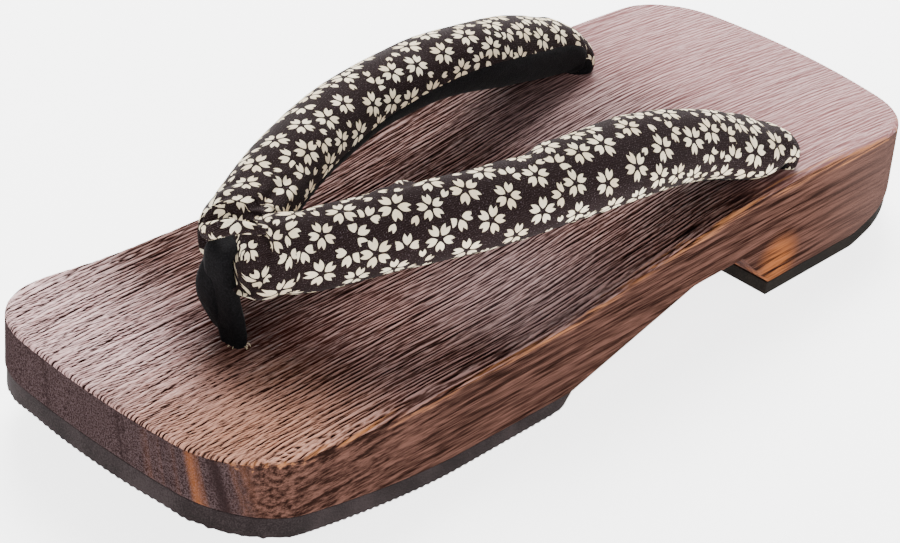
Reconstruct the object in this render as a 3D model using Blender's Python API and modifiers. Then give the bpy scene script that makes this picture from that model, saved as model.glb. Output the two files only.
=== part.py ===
"""Geta sandal: a carved deck with a raised waist, two rubber outsoles, a padded V strap and its toe post.

Metres. +X points to the toe, +Y to the side with the wearer's left hand, +Z up, and the sandal stands on Z = 0.
"""

import math
from collections import namedtuple

import bmesh
import bpy
import numpy as np
from mathutils import Vector

# %% Sizes of the deck

LENGTH = 0.265
WIDTH = 0.0946
TOE_SAGITTA = 0.0045
HEEL_SAGITTA = 0.0073
TOE_CORNER_RADIUS = 0.023
HEEL_CORNER_RADIUS = 0.022
DECK_HEIGHT = 0.0345
EDGE_ROUNDING = 0.0014
ROUNDING_ANGLE = math.radians(40)

# The walking surface: share of the length from the heel, share of DECK_HEIGHT.
DECK_TOP = [
    # along, height
    (0.00, 0.860),
    (0.10, 0.942),
    (0.22, 1.000),
    (0.34, 0.977),
    (0.46, 0.878),
    (0.58, 0.785),
    (0.70, 0.771),
    (0.82, 0.810),
    (0.92, 0.896),
    (1.00, 0.968),
]

# %% Sizes of the underside

FRONT_BLOCK_LENGTH = 0.1171
ARCH_HEIGHT = 0.0170
ARCH_FLAT_LENGTH = 0.0193
HEEL_BLOCK_LENGTH = 0.0685
HEEL_FRONT_SLANT = 0.0137
TOE_SPRING_HEIGHT = 0.0134
TOE_SPRING_LENGTH = 0.0765
TOE_SPRING_POWER = 1.63
HEEL_BEVEL_HEIGHT = 0.0126
HEEL_BEVEL_LENGTH = 0.0315
HEEL_BEVEL_POWER = 1.2

# %% Sizes of the rubber

FRONT_RUBBER_REAR = 0.0047
FRONT_RUBBER_TOE = 0.0063
FRONT_RUBBER_CHAMFER = 0.0036
HEEL_RUBBER = 0.0041
RUBBER_INSET = 0.0004
BOND_GAP = 0.0003

# %% Sizes of the strap and the toe post

TOE_HOLE_FROM_TOE = 0.0438
REAR_HOLE_FROM_HEEL = 0.0560
REAR_HOLE_SPREAD = 0.0352
HOLE_DEPTH = 0.0130
STRAP_WIDTH = 0.0220
STRAP_THICKNESS = 0.0185
STRAP_RISE = 0.0211
TAIL_RADIUS = 0.0038
TAIL_DEPTH = 0.0100
TAIL_BEND = 0.0010
TAIL_START_WIDTH = 0.0150
TAIL_START_THICKNESS = 0.0092
TAIL_END_WIDTH = 0.0128
POST_HEIGHT = 0.0285
POST_REACH = 0.0060
POST_WIDTH = 0.0064
POST_THICKNESS = 0.0034
POST_SECTION_POWER = 0.7
FIT_GAP = 0.0003

# One side of the strap from the toe post back to where it turns down into its rear hole:
# share of the reach between the holes, share of REAR_HOLE_SPREAD, share of STRAP_RISE over the
# deck's highest point, shares of STRAP_WIDTH and STRAP_THICKNESS, and the bank of its outer face.
STRAP_ROWS = [
    # along, spread, rise, width, thickness, bank in degrees
    (1.017, 0.100, 0.93, 0.30, 0.36, 45),
    (1.013, 0.108, 0.93, 0.52, 0.62, 45),
    (1.001, 0.124, 0.93, 0.72, 0.82, 45),
    (0.981, 0.156, 0.93, 0.83, 0.94, 48),
    (0.950, 0.220, 0.92, 0.87, 0.99, 54),
    (0.913, 0.304, 0.91, 0.89, 1.00, 60),
    (0.784, 0.553, 0.98, 0.93, 0.98, 65),
    (0.622, 0.785, 1.00, 0.96, 0.96, 65),
    (0.460, 0.885, 0.99, 1.00, 0.93, 62),
    (0.330, 0.905, 0.89, 0.99, 0.91, 58),
    (0.201, 0.940, 0.66, 0.85, 0.88, 58),
    (0.092, 0.985, 0.37, 0.76, 0.70, 66),
]

# The band of the toe post, up the toe side of the strap, through it and down again:
# share of POST_REACH towards the toe, share of POST_HEIGHT over the deck, shares of its width and thickness.
POST_ROWS = [
    # forward, height, width, thickness
    (0.25, -0.28, 0.78, 0.76),
    (0.25, 0.00, 0.78, 0.76),
    (0.80, 0.25, 0.95, 0.95),
    (1.20, 0.44, 1.00, 1.00),
    (1.28, 0.60, 1.00, 1.00),
    (1.14, 0.76, 1.00, 1.00),
    (0.86, 0.91, 1.00, 1.00),
    (0.20, 1.00, 1.00, 1.00),
    (-0.50, 0.95, 1.00, 1.00),
    (-0.75, 0.80, 1.00, 1.00),
    (-0.55, 0.62, 1.00, 1.00),
    (0.10, 0.49, 1.00, 1.00),
    (0.30, 0.37, 1.00, 1.00),
    (0.08, 0.22, 0.92, 0.92),
    (-0.25, 0.00, 0.78, 0.76),
    (-0.25, -0.28, 0.78, 0.76),
]
# Under this share of POST_HEIGHT the band is free of the strap.
POST_FREE_SHARE = 0.48

# %% Numbers of facets

ROW_STEPS = 4
END_ARC_POINTS = 6
CORNER_POINTS = 9
SPRING_POINTS = 13
BEVEL_POINTS = 6
HOLE_SIDES = 32
STRAP_SIDES = 22
POST_SIDES = 14
TAIL_TURN_STEPS = 6

# %% Colours

WOOD_COLOUR = (0.115, 0.048, 0.030, 1.0)
FRONT_RUBBER_COLOUR = (0.030, 0.024, 0.023, 1.0)
HEEL_RUBBER_COLOUR = (0.035, 0.032, 0.029, 1.0)
STRAP_COLOUR = (0.032, 0.022, 0.028, 1.0)
POST_COLOUR = (0.004, 0.004, 0.005, 1.0)

# %% Places worked out from the sizes

TOE = LENGTH / 2
HEEL = -LENGTH / 2
TOE_HOLE_X = TOE - TOE_HOLE_FROM_TOE
REAR_HOLE_X = HEEL + REAR_HOLE_FROM_HEEL
FRONT_BLOCK_BACK = TOE - FRONT_BLOCK_LENGTH
HEEL_BLOCK_FRONT = HEEL + HEEL_BLOCK_LENGTH
ARCH_FLAT_BACK = HEEL_BLOCK_FRONT + HEEL_FRONT_SLANT
ARCH_FLAT_FRONT = ARCH_FLAT_BACK + ARCH_FLAT_LENGTH
SIDE_OVERRUN = 0.010

Station = namedtuple("Station", "centre tangent width thickness bank")


# %% Curves through short tables


def smooth_rows(rows, steps):
    """Rows of a smooth curve that passes through every given row, with this many steps between neighbours."""
    table = np.array(rows, dtype=float)
    slopes = np.gradient(table, axis=0)
    out = [table[0]]
    for start in range(len(table) - 1):
        low, high = table[start], table[start + 1]
        for step in range(1, steps + 1):
            t = step / steps
            ease = t * t * (3 - 2 * t)
            leave = t * (1 - t) ** 2
            arrive = t * t * (t - 1)
            out.append(low + (high - low) * ease + slopes[start] * leave + slopes[start + 1] * arrive)
    return out


DECK_CURVE = [
    (HEEL + along * LENGTH, height * DECK_HEIGHT) for along, height in smooth_rows(DECK_TOP, ROW_STEPS)
]


def deck_top(x):
    """Height of the walking surface at x."""
    return float(np.interp(x, [p[0] for p in DECK_CURVE], [p[1] for p in DECK_CURVE]))


def ground_height(x):
    """Height of the rubber's lower face: flat where the sandal stands, lifted at the toe and the heel."""
    spring = (x - (TOE - TOE_SPRING_LENGTH)) / TOE_SPRING_LENGTH
    bevel = ((HEEL + HEEL_BEVEL_LENGTH) - x) / HEEL_BEVEL_LENGTH
    lift = TOE_SPRING_HEIGHT * max(spring, 0.0) ** TOE_SPRING_POWER
    return lift + HEEL_BEVEL_HEIGHT * max(bevel, 0.0) ** HEEL_BEVEL_POWER


def front_rubber(x):
    """Thickness of the front outsole at x."""
    share = (x - FRONT_BLOCK_BACK) / FRONT_BLOCK_LENGTH
    return FRONT_RUBBER_REAR + (FRONT_RUBBER_TOE - FRONT_RUBBER_REAR) * share


# %% Outlines


def end_points(sagitta, corner_radius, inset):
    """One end of the plan from its middle to the side, as if it pointed along +X: a shallow arc, a corner arc."""
    half = WIDTH / 2 - inset
    tip = LENGTH / 2 - inset
    corner = corner_radius - inset
    radius = (half * half + sagitta * sagitta) / (2 * sagitta)
    middle = tip - radius
    corner_y = half - corner
    corner_x = middle + math.sqrt((radius - corner) ** 2 - corner_y**2)
    meet = math.atan2(corner_y, corner_x - middle)
    points = []
    for step in range(END_ARC_POINTS):
        angle = meet * step / END_ARC_POINTS
        points.append((middle + radius * math.cos(angle), radius * math.sin(angle)))
    for step in range(CORNER_POINTS + 1):
        angle = meet + (math.pi / 2 - meet) * step / CORNER_POINTS
        points.append((corner_x + corner * math.cos(angle), corner_y + corner * math.sin(angle)))
    return points


def plan_outline(inset=0.0):
    """The closed outline seen from above, anticlockwise from the middle of the toe."""
    toe = end_points(TOE_SAGITTA, TOE_CORNER_RADIUS, inset)
    heel = end_points(HEEL_SAGITTA, HEEL_CORNER_RADIUS, inset)
    near = toe + [(-x, y) for x, y in reversed(heel)]
    far = [(x, -y) for x, y in reversed(near[1:-1])]
    return near + far


def spaced(start, end, count):
    """Evenly spaced values from start to end, with both of them."""
    return [float(value) for value in np.linspace(start, end, count)]


def deck_profile():
    """The wood from the side: the walking surface, the front block, the raised waist and the heel block."""
    past_toe = TOE + SIDE_OVERRUN
    past_heel = HEEL - SIDE_OVERRUN
    top = [(past_heel, DECK_CURVE[0][1])] + DECK_CURVE + [(past_toe, DECK_CURVE[-1][1])]
    spring_start = TOE - TOE_SPRING_LENGTH
    bevel_end = HEEL + HEEL_BEVEL_LENGTH
    front = [past_toe] + spaced(TOE, spring_start, SPRING_POINTS) + [FRONT_BLOCK_BACK]
    under_front = [(x, ground_height(x) + front_rubber(x) + BOND_GAP) for x in front]
    waist = [(ARCH_FLAT_FRONT, ARCH_HEIGHT), (ARCH_FLAT_BACK, ARCH_HEIGHT)]
    rear = [HEEL_BLOCK_FRONT] + spaced(bevel_end, HEEL, BEVEL_POINTS) + [past_heel]
    under_heel = [(x, ground_height(x) + HEEL_RUBBER + BOND_GAP) for x in rear]
    return top + under_front + waist + under_heel


def front_outsole_profile():
    """The front outsole seen from the side, with its back end slanted outwards."""
    forward = [FRONT_BLOCK_BACK + FRONT_RUBBER_CHAMFER] + spaced(TOE - TOE_SPRING_LENGTH, TOE, SPRING_POINTS)
    forward.append(TOE + SIDE_OVERRUN)
    under = [(x, ground_height(x)) for x in forward]
    upper = [(x, ground_height(x) + front_rubber(x)) for x in reversed([FRONT_BLOCK_BACK] + forward[1:])]
    return under + upper


def heel_outsole_profile():
    """The heel outsole seen from the side."""
    back = [HEEL_BLOCK_FRONT] + spaced(HEEL + HEEL_BEVEL_LENGTH, HEEL, BEVEL_POINTS) + [HEEL - SIDE_OVERRUN]
    under = [(x, ground_height(x)) for x in back]
    upper = [(x, ground_height(x) + HEEL_RUBBER) for x in reversed(back)]
    return under + upper


# %% Blender helpers


def clear_scene():
    """Remove whatever the scene holds."""
    for obj in list(bpy.data.objects):
        bpy.data.objects.remove(obj, do_unlink=True)


def new_collection(name, hidden=False):
    """A collection under the scene's own."""
    collection = bpy.data.collections.new(name)
    bpy.context.scene.collection.children.link(collection)
    collection.hide_render = hidden
    return collection


def plain_material(name, colour, roughness):
    """A Principled material with one colour and no metal."""
    material = bpy.data.materials.new(name)
    material.use_nodes = True
    shader = material.node_tree.nodes["Principled BSDF"]
    shader.inputs["Base Color"].default_value = colour
    shader.inputs["Roughness"].default_value = roughness
    shader.inputs["Metallic"].default_value = 0.0
    material.diffuse_color = colour
    return material


def link_mesh(name, mesh, collection):
    """An object with this mesh in the collection."""
    obj = bpy.data.objects.new(name, mesh)
    collection.objects.link(obj)
    return obj


def as_cutter(obj):
    """Mark a cutter: drawn as wire, never rendered."""
    obj.display_type = "WIRE"
    obj.hide_render = True
    return obj


def slab(name, outline, half_depth, collection, upright=False):
    """A flat outline extruded to both sides: along Z, or along Y with the outline upright in X and Z."""
    curve = bpy.data.curves.new(name + "_outline", "CURVE")
    curve.dimensions = "2D"
    curve.fill_mode = "BOTH"
    curve.extrude = half_depth
    spline = curve.splines.new("POLY")
    spline.points.add(len(outline) - 1)
    for point, (across, up) in zip(spline.points, outline):
        point.co = (across, up, 0.0, 1.0)
    spline.use_cyclic_u = True
    source = bpy.data.objects.new(name + "_outline", curve)
    collection.objects.link(source)
    mesh = bpy.data.meshes.new_from_object(source)
    bpy.data.objects.remove(source, do_unlink=True)
    shape = bmesh.new()
    shape.from_mesh(mesh)
    bmesh.ops.remove_doubles(shape, verts=shape.verts, dist=1e-6)
    if upright:
        for vertex in shape.verts:
            across, up, depth = vertex.co
            vertex.co = (across, -depth, up)
    bmesh.ops.recalc_face_normals(shape, faces=shape.faces)
    shape.to_mesh(mesh)
    shape.free()
    return link_mesh(name, mesh, collection)


def rod(name, radius, bottom, top, x, y, collection):
    """An upright cylinder between two heights."""
    shape = bmesh.new()
    bmesh.ops.create_cone(
        shape, cap_ends=True, segments=HOLE_SIDES, radius1=radius, radius2=radius, depth=top - bottom
    )
    bmesh.ops.translate(shape, verts=shape.verts, vec=(x, y, (top + bottom) / 2))
    mesh = bpy.data.meshes.new(name)
    shape.to_mesh(mesh)
    shape.free()
    return link_mesh(name, mesh, collection)


def cut(obj, cutter, operation):
    """An exact Boolean of obj with the cutter."""
    step = obj.modifiers.new(operation.lower() + "_" + cutter.name, "BOOLEAN")
    step.operation = operation
    step.solver = "EXACT"
    step.object = cutter


def loft(name, stations, sides, section_power, collection):
    """A closed solid through oval sections that change size, place and bank from station to station."""
    shape = bmesh.new()
    rings = []
    for station in stations:
        along = station.tangent.normalized()
        side = (Vector((0, 1, 0)) - along * along.y).normalized()
        up = side.cross(along)
        face = side * math.cos(station.bank) + up * math.sin(station.bank)
        edge = up * math.cos(station.bank) - side * math.sin(station.bank)
        ring = []
        for step in range(sides):
            angle = 2 * math.pi * step / sides
            out = math.copysign(abs(math.cos(angle)) ** section_power, math.cos(angle)) * station.thickness / 2
            across = math.copysign(abs(math.sin(angle)) ** section_power, math.sin(angle)) * station.width / 2
            ring.append(shape.verts.new(station.centre + face * out + edge * across))
        rings.append(ring)
    for first, second in zip(rings, rings[1:]):
        for step in range(sides):
            after = (step + 1) % sides
            shape.faces.new((first[step], first[after], second[after], second[step]))
    shape.faces.new(rings[0])
    shape.faces.new(rings[-1])
    bmesh.ops.recalc_face_normals(shape, faces=shape.faces)
    mesh = bpy.data.meshes.new(name)
    shape.to_mesh(mesh)
    shape.free()
    return link_mesh(name, mesh, collection)


def open_at_middle(obj):
    """Cut away what reaches past the sandal's middle plane and leave the half open there."""
    shape = bmesh.new()
    shape.from_mesh(obj.data)
    geometry = shape.verts[:] + shape.edges[:] + shape.faces[:]
    bmesh.ops.bisect_plane(
        shape, geom=geometry, dist=1e-7, plane_co=(0, 0, 0), plane_no=(0, 1, 0), clear_inner=True
    )
    shape.to_mesh(obj.data)
    shape.free()


# %% Sections of the strap and the post


def strap_stations():
    """Sections of one side: along the table, turned down to a blunt end on the deck, then the hidden tail."""
    reach = TOE_HOLE_X - REAR_HOLE_X
    floor = deck_top(REAR_HOLE_X) + FIT_GAP
    turn_x = REAR_HOLE_X + TAIL_START_THICKNESS / 2 + TAIL_BEND
    last = (
        (turn_x - REAR_HOLE_X) / reach,
        1.0,
        (floor + TAIL_BEND + TAIL_START_THICKNESS / 2 - DECK_HEIGHT) / STRAP_RISE,
        TAIL_START_WIDTH / STRAP_WIDTH,
        TAIL_START_THICKNESS / STRAP_THICKNESS,
        90,
    )
    rows = smooth_rows(STRAP_ROWS + [last], ROW_STEPS)
    centres = [
        Vector((REAR_HOLE_X + row[0] * reach, row[1] * REAR_HOLE_SPREAD, DECK_HEIGHT + row[2] * STRAP_RISE))
        for row in rows
    ]
    stations = []
    for index, row in enumerate(rows):
        before = centres[max(index - 1, 0)]
        after = centres[min(index + 1, len(rows) - 1)]
        width = row[3] * STRAP_WIDTH
        thickness = row[4] * STRAP_THICKNESS
        stations.append(Station(centres[index], after - before, width, thickness, math.radians(row[5])))
    for step in range(1, TAIL_TURN_STEPS + 1):
        share = step / TAIL_TURN_STEPS
        turn = share * math.pi / 2
        width = TAIL_START_WIDTH + (TAIL_END_WIDTH - TAIL_START_WIDTH) * share
        outward = Vector((-math.sin(turn), 0, math.cos(turn)))
        centre = Vector((turn_x, REAR_HOLE_SPREAD, floor)) + outward * (TAIL_BEND + TAIL_START_THICKNESS / 2)
        down = Vector((-math.cos(turn), 0, -math.sin(turn)))
        stations.append(Station(centre, down, width, TAIL_START_THICKNESS, math.pi / 2))
    for height in (floor, floor - TAIL_DEPTH):
        centre = Vector((REAR_HOLE_X, REAR_HOLE_SPREAD, height))
        stations.append(Station(centre, Vector((0, 0, -1)), 2 * TAIL_RADIUS, 2 * TAIL_RADIUS, math.pi / 2))
    return stations


def post_stations(rows, clearance):
    """Sections of the toe post's band, grown by the clearance on every side."""
    floor = deck_top(TOE_HOLE_X)
    path = smooth_rows(rows, ROW_STEPS)
    centres = [Vector((TOE_HOLE_X + row[0] * POST_REACH, 0, floor + row[1] * POST_HEIGHT)) for row in path]
    stations = []
    for index, row in enumerate(path):
        before = centres[max(index - 1, 0)]
        after = centres[min(index + 1, len(path) - 1)]
        width = row[2] * POST_WIDTH + 2 * clearance
        thickness = row[3] * POST_THICKNESS + 2 * clearance
        stations.append(Station(centres[index], after - before, width, thickness, math.pi / 2))
    return stations


# %% The pieces


def make_deck(parts, cutters):
    """The wooden deck: its side shape cut to the plan outline, edges rounded, three blind holes in its top."""
    deck = slab("deck", deck_profile(), WIDTH, parts, upright=True)
    plan = as_cutter(slab("deck_plan", plan_outline(), 2 * DECK_HEIGHT, cutters))
    cut(deck, plan, "INTERSECT")
    rounding = deck.modifiers.new("edge_rounding", "BEVEL")
    rounding.width = EDGE_ROUNDING
    rounding.segments = 2
    rounding.limit_method = "ANGLE"
    rounding.angle_limit = ROUNDING_ANGLE
    above = DECK_HEIGHT + STRAP_RISE
    toe_floor = deck_top(TOE_HOLE_X) - HOLE_DEPTH
    toe_hole = rod("toe_hole", post_hole_radius(), toe_floor, above, TOE_HOLE_X, 0, cutters)
    cut(deck, as_cutter(toe_hole), "DIFFERENCE")
    for name, side in (("left_rear_hole", 1), ("right_rear_hole", -1)):
        floor = deck_top(REAR_HOLE_X) - HOLE_DEPTH
        hole = rod(name, TAIL_RADIUS + FIT_GAP, floor, above, REAR_HOLE_X, side * REAR_HOLE_SPREAD, cutters)
        cut(deck, as_cutter(hole), "DIFFERENCE")
    deck.data.materials.append(plain_material("wood", WOOD_COLOUR, 0.6))


def post_hole_radius():
    """Radius of the hole that both ends of the post's band fill."""
    forward, _, width, thickness = POST_ROWS[0]
    half_depth = forward * POST_REACH + thickness * POST_THICKNESS / 2
    half_width = width * POST_WIDTH / 2
    return math.hypot(half_depth, half_width) + FIT_GAP


def make_outsole(name, profile, colour, parts, cutters):
    """A rubber outsole: its side shape cut to the deck's outline, set in by a little."""
    outsole = slab(name, profile, WIDTH, parts, upright=True)
    plan = as_cutter(slab(name + "_plan", plan_outline(RUBBER_INSET), 2 * DECK_HEIGHT, cutters))
    cut(outsole, plan, "INTERSECT")
    outsole.data.materials.append(plain_material(name + "_rubber", colour, 0.75))


def make_strap(parts, cutters):
    """The padded strap: one side mirrored, joined at the toe post, with the post's way cut through the join."""
    strap = loft("strap", strap_stations(), STRAP_SIDES, 1.0, parts)
    open_at_middle(strap)
    mirror = strap.modifiers.new("other_side", "MIRROR")
    mirror.use_axis = (False, True, False)
    mirror.merge_threshold = 1e-6
    upper_rows = [row for row in POST_ROWS if row[1] > POST_FREE_SHARE]
    way = loft("post_way", post_stations(upper_rows, FIT_GAP), POST_SIDES, POST_SECTION_POWER, cutters)
    cut(strap, as_cutter(way), "DIFFERENCE")
    strap.data.materials.append(plain_material("strap_cloth", STRAP_COLOUR, 0.85))


def make_toe_post(parts):
    """The velvet band of the toe post."""
    post = loft("toe_post", post_stations(POST_ROWS, 0.0), POST_SIDES, POST_SECTION_POWER, parts)
    post.data.materials.append(plain_material("post_velvet", POST_COLOUR, 0.95))


def build():
    """Build the whole sandal."""
    clear_scene()
    parts = new_collection("geta_sandal")
    cutters = new_collection("cutters", hidden=True)
    make_deck(parts, cutters)
    make_outsole("front_outsole", front_outsole_profile(), FRONT_RUBBER_COLOUR, parts, cutters)
    make_outsole("heel_outsole", heel_outsole_profile(), HEEL_RUBBER_COLOUR, parts, cutters)
    make_strap(parts, cutters)
    make_toe_post(parts)


build()
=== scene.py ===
# %% [markdown]
# # A geta sandal
# A geta is a wooden sandal: a carved block with a raised waist, rubber glued under its two blocks, and a
# padded strap in a V that a short post holds between the toes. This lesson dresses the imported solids:
# it measures them, carves the wood with its raised grain, ribs the rubber, sews the padded strap with its
# blossom print, and gives each surface a material made of nodes.

import math
import random

import bmesh
import bpy
import numpy as np
from mathutils import Matrix, Vector, noise


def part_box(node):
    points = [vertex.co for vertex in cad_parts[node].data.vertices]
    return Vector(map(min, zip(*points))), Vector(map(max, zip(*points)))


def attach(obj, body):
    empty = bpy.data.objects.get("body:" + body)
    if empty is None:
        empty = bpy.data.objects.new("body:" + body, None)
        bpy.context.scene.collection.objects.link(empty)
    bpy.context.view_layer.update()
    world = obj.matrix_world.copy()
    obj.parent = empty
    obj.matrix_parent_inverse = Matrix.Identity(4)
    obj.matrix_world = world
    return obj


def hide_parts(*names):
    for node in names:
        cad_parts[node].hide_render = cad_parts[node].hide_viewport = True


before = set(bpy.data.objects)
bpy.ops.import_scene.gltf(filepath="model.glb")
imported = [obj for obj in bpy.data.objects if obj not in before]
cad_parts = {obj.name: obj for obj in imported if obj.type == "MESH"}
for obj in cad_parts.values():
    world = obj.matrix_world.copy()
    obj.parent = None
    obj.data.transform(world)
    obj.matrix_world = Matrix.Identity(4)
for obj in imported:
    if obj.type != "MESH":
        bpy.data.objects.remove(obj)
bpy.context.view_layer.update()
MM = 0.001

# %% [markdown]
# ## Camera and light
# The photo looks down on the toe and on the wearer's left side, with the camera rolled a little. A long
# lens keeps the deck's edges nearly parallel. The backdrop behind the heel is the brightest thing, and its
# reflection turns the heel and the toe of the deck pale while the hollow between them stays dark.

# %% Camera
CAMERA_PLACE = Vector((0.5082, 0.4297, 0.4419))
CAMERA_FORWARD = Vector((-0.63445, -0.54854, -0.54459))
CAMERA_ROLL = math.radians(5.18)
CAMERA_LENS = 121.7


def add_camera():
    """The camera at the photo's place, turned along its view and rolled."""
    data = bpy.data.cameras.new("camera")
    data.lens = CAMERA_LENS
    data.sensor_width = 36.0
    data.clip_start = 0.01
    camera = bpy.data.objects.new("camera", data)
    bpy.context.scene.collection.objects.link(camera)
    turn = CAMERA_FORWARD.to_track_quat("-Z", "Y").to_matrix() @ Matrix.Rotation(CAMERA_ROLL, 3, "Z")
    camera.matrix_world = Matrix.Translation(CAMERA_PLACE) @ turn.to_4x4()
    bpy.context.scene.camera = camera
    return camera


camera = add_camera()
print("camera at", tuple(round(value, 3) for value in camera.location))

# %% Lights and floor
FLOOR_SIZE = 6.0
LIGHT_ROWS = [
    # name, place, size, power
    ("backdrop_glow", (-1.30, -1.05, 0.50), 1.3, 62.0),
    ("overhead_softbox", (-0.45, -0.55, 1.10), 0.7, 34.0),
    ("front_fill", (1.10, 0.60, 0.75), 0.6, 10.5),
    ("side_fill", (0.10, 1.25, 0.75), 0.7, 4.0),
]
LIGHT_AIM = Vector((0, 0, 0.03))
WORLD_STRENGTH = 0.26
FLOOR_GLOW = 3.4


def add_lights():
    """Large square area lights aimed at the sandal, and an even pale world."""
    for name, place, size, power in LIGHT_ROWS:
        data = bpy.data.lights.new(name, "AREA")
        data.energy = power
        data.size = size
        light = bpy.data.objects.new(name, data)
        light.location = place
        light.rotation_euler = (LIGHT_AIM - Vector(place)).to_track_quat("-Z", "Y").to_euler()
        bpy.context.scene.collection.objects.link(light)
    world = bpy.data.worlds.new("studio")
    world.use_nodes = True
    background = world.node_tree.nodes["Background"].inputs
    background["Color"].default_value = (1.0, 1.0, 1.0, 1.0)
    background["Strength"].default_value = WORLD_STRENGTH
    bpy.context.scene.world = world


add_lights()

# %% [markdown]
# ## Building materials from nodes
# Every material here is a Principled shader with a small tree in front of it. The helper below keeps each
# tree readable: it makes a node, fills its inputs by name and links whatever socket it is handed. The
# floor is its first use. It glows by itself, because the photo's ground is almost pure white.

# %% A helper for node trees


class Tree:
    """A node tree with short calls for the nodes used in this lesson."""

    def __init__(self, tree, shader=None):
        self.tree = tree
        self.shader = shader

    def fill(self, socket, value):
        """Link a socket to another one, or set it to a number or a colour."""
        if isinstance(value, bpy.types.NodeSocket):
            self.tree.links.new(value, socket)
        elif socket.type == "RGBA" and len(value) == 3:
            socket.default_value = (*value, 1.0)
        else:
            socket.default_value = value

    def feed(self, name, value):
        """Link or set one input of the material's Principled shader."""
        self.fill(self.shader.inputs[name], value)

    def node(self, kind, inputs=None, **settings):
        """A node of this kind; inputs maps socket names or numbers to values or to other sockets."""
        made = self.tree.nodes.new(kind)
        for key, value in settings.items():
            setattr(made, key, value)
        for key, value in (inputs or {}).items():
            self.fill(made.inputs[key], value)
        return made

    def group(self, group, inputs):
        """The outputs of a node group placed in this tree."""
        return self.node("ShaderNodeGroup", inputs, node_tree=group).outputs

    def math(self, operation, first, second=0.0, clamp=False):
        """The result of one Math node."""
        inputs = {0: first, 1: second}
        return self.node("ShaderNodeMath", inputs, operation=operation, use_clamp=clamp).outputs[0]

    def mul(self, first, *others):
        """A product."""
        for other in others:
            first = self.math("MULTIPLY", first, other)
        return first

    def add(self, first, *others):
        """A sum."""
        for other in others:
            first = self.math("ADD", first, other)
        return first

    def sub(self, first, second):
        """A difference."""
        return self.math("SUBTRACT", first, second)

    def between(self, value, low, high):
        """0 at low, 1 at high, smooth between them; low may be the greater one."""
        limits = {"Value": value, "From Min": low, "From Max": high}
        return self.node("ShaderNodeMapRange", limits, interpolation_type="SMOOTHSTEP").outputs["Result"]

    def mix(self, share, first, second):
        """A colour between two colours."""
        return self.node("ShaderNodeMix", {"Factor": share, 6: first, 7: second}, data_type="RGBA").outputs[2]

    def noise(self, vector, scale, detail=3.0, roughness=0.55):
        """The value of a Noise texture whose scale differs along X, Y and Z."""
        place = self.node("ShaderNodeMapping", {"Vector": vector, "Scale": scale}).outputs[0]
        inputs = {"Vector": place, "Scale": 1.0, "Detail": detail, "Roughness": roughness}
        return self.node("ShaderNodeTexNoise", inputs).outputs[0]

    def bump(self, height, strength, distance, under=None):
        """A normal raised by a height, over another one if given."""
        inputs = {"Height": height, "Strength": strength, "Distance": distance}
        if under is not None:
            inputs["Normal"] = under
        return self.node("ShaderNodeBump", inputs).outputs[0]

    def join(self, x, y=0.0, z=0.0):
        """A vector from its parts."""
        return self.node("ShaderNodeCombineXYZ", {"X": x, "Y": y, "Z": z}).outputs[0]

    def object_place(self):
        """Object coordinates, in metres."""
        return self.node("ShaderNodeTexCoord").outputs["Object"]

    def uv(self, name):
        """A named UV map."""
        return self.node("ShaderNodeUVMap", uv_map=name).outputs[0]

    def attribute(self, name):
        """A named number stored on the mesh."""
        return self.node("ShaderNodeAttribute", attribute_name=name).outputs["Fac"]

    def parts(self, vector):
        """The X, Y and Z of a vector."""
        return self.node("ShaderNodeSeparateXYZ", {"Vector": vector}).outputs


def new_material(name):
    """A material with only its Principled shader, and the tree that feeds it."""
    material = bpy.data.materials.new(name)
    material.use_nodes = True
    return material, Tree(material.node_tree, material.node_tree.nodes["Principled BSDF"])


def new_group(name, inputs, outputs):
    """An empty shader group with named sockets."""
    group = bpy.data.node_groups.new(name, "ShaderNodeTree")
    for socket, kind in inputs:
        group.interface.new_socket(socket, in_out="INPUT", socket_type=kind)
    for socket, kind in outputs:
        group.interface.new_socket(socket, in_out="OUTPUT", socket_type=kind)
    tree = Tree(group)
    return group, tree, tree.node("NodeGroupInput").outputs, tree.node("NodeGroupOutput").inputs


def finish_mesh(name, shape):
    """The object made from a bmesh, which is then freed."""
    mesh = bpy.data.meshes.new(name)
    shape.to_mesh(mesh)
    shape.free()
    obj = bpy.data.objects.new(name, mesh)
    bpy.context.scene.collection.objects.link(obj)
    return obj


FLOAT = "NodeSocketFloat"
VECTOR = "NodeSocketVector"

# %% Floor


def add_floor():
    """A plain pale floor under the sandal."""
    shape = bmesh.new()
    bmesh.ops.create_grid(shape, x_segments=1, y_segments=1, size=FLOOR_SIZE / 2)
    floor = finish_mesh("floor", shape)
    material, tree = new_material("pale_floor")
    tint = tree.noise(tree.object_place(), (3.0, 3.0, 3.0))
    tree.feed("Base Color", tree.mix(tint, (0.92, 0.92, 0.92), (0.95, 0.95, 0.95)))
    tree.feed("Roughness", 0.9)
    tree.feed("Emission Color", (1.0, 1.0, 1.0))
    tree.feed("Emission Strength", FLOOR_GLOW)
    floor.data.materials.append(material)
    return floor


floor = add_floor()

# %% [markdown]
# ## The plan of the sandal
# Deck and rubber share one outline: two straight sides, a shallow arc across each end and four round
# corners. All three plates are the same kind of form, so one function makes them: a grid laid over the
# outline, extruded down its rim in small steps, and closed with a copy of the grid underneath.

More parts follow.
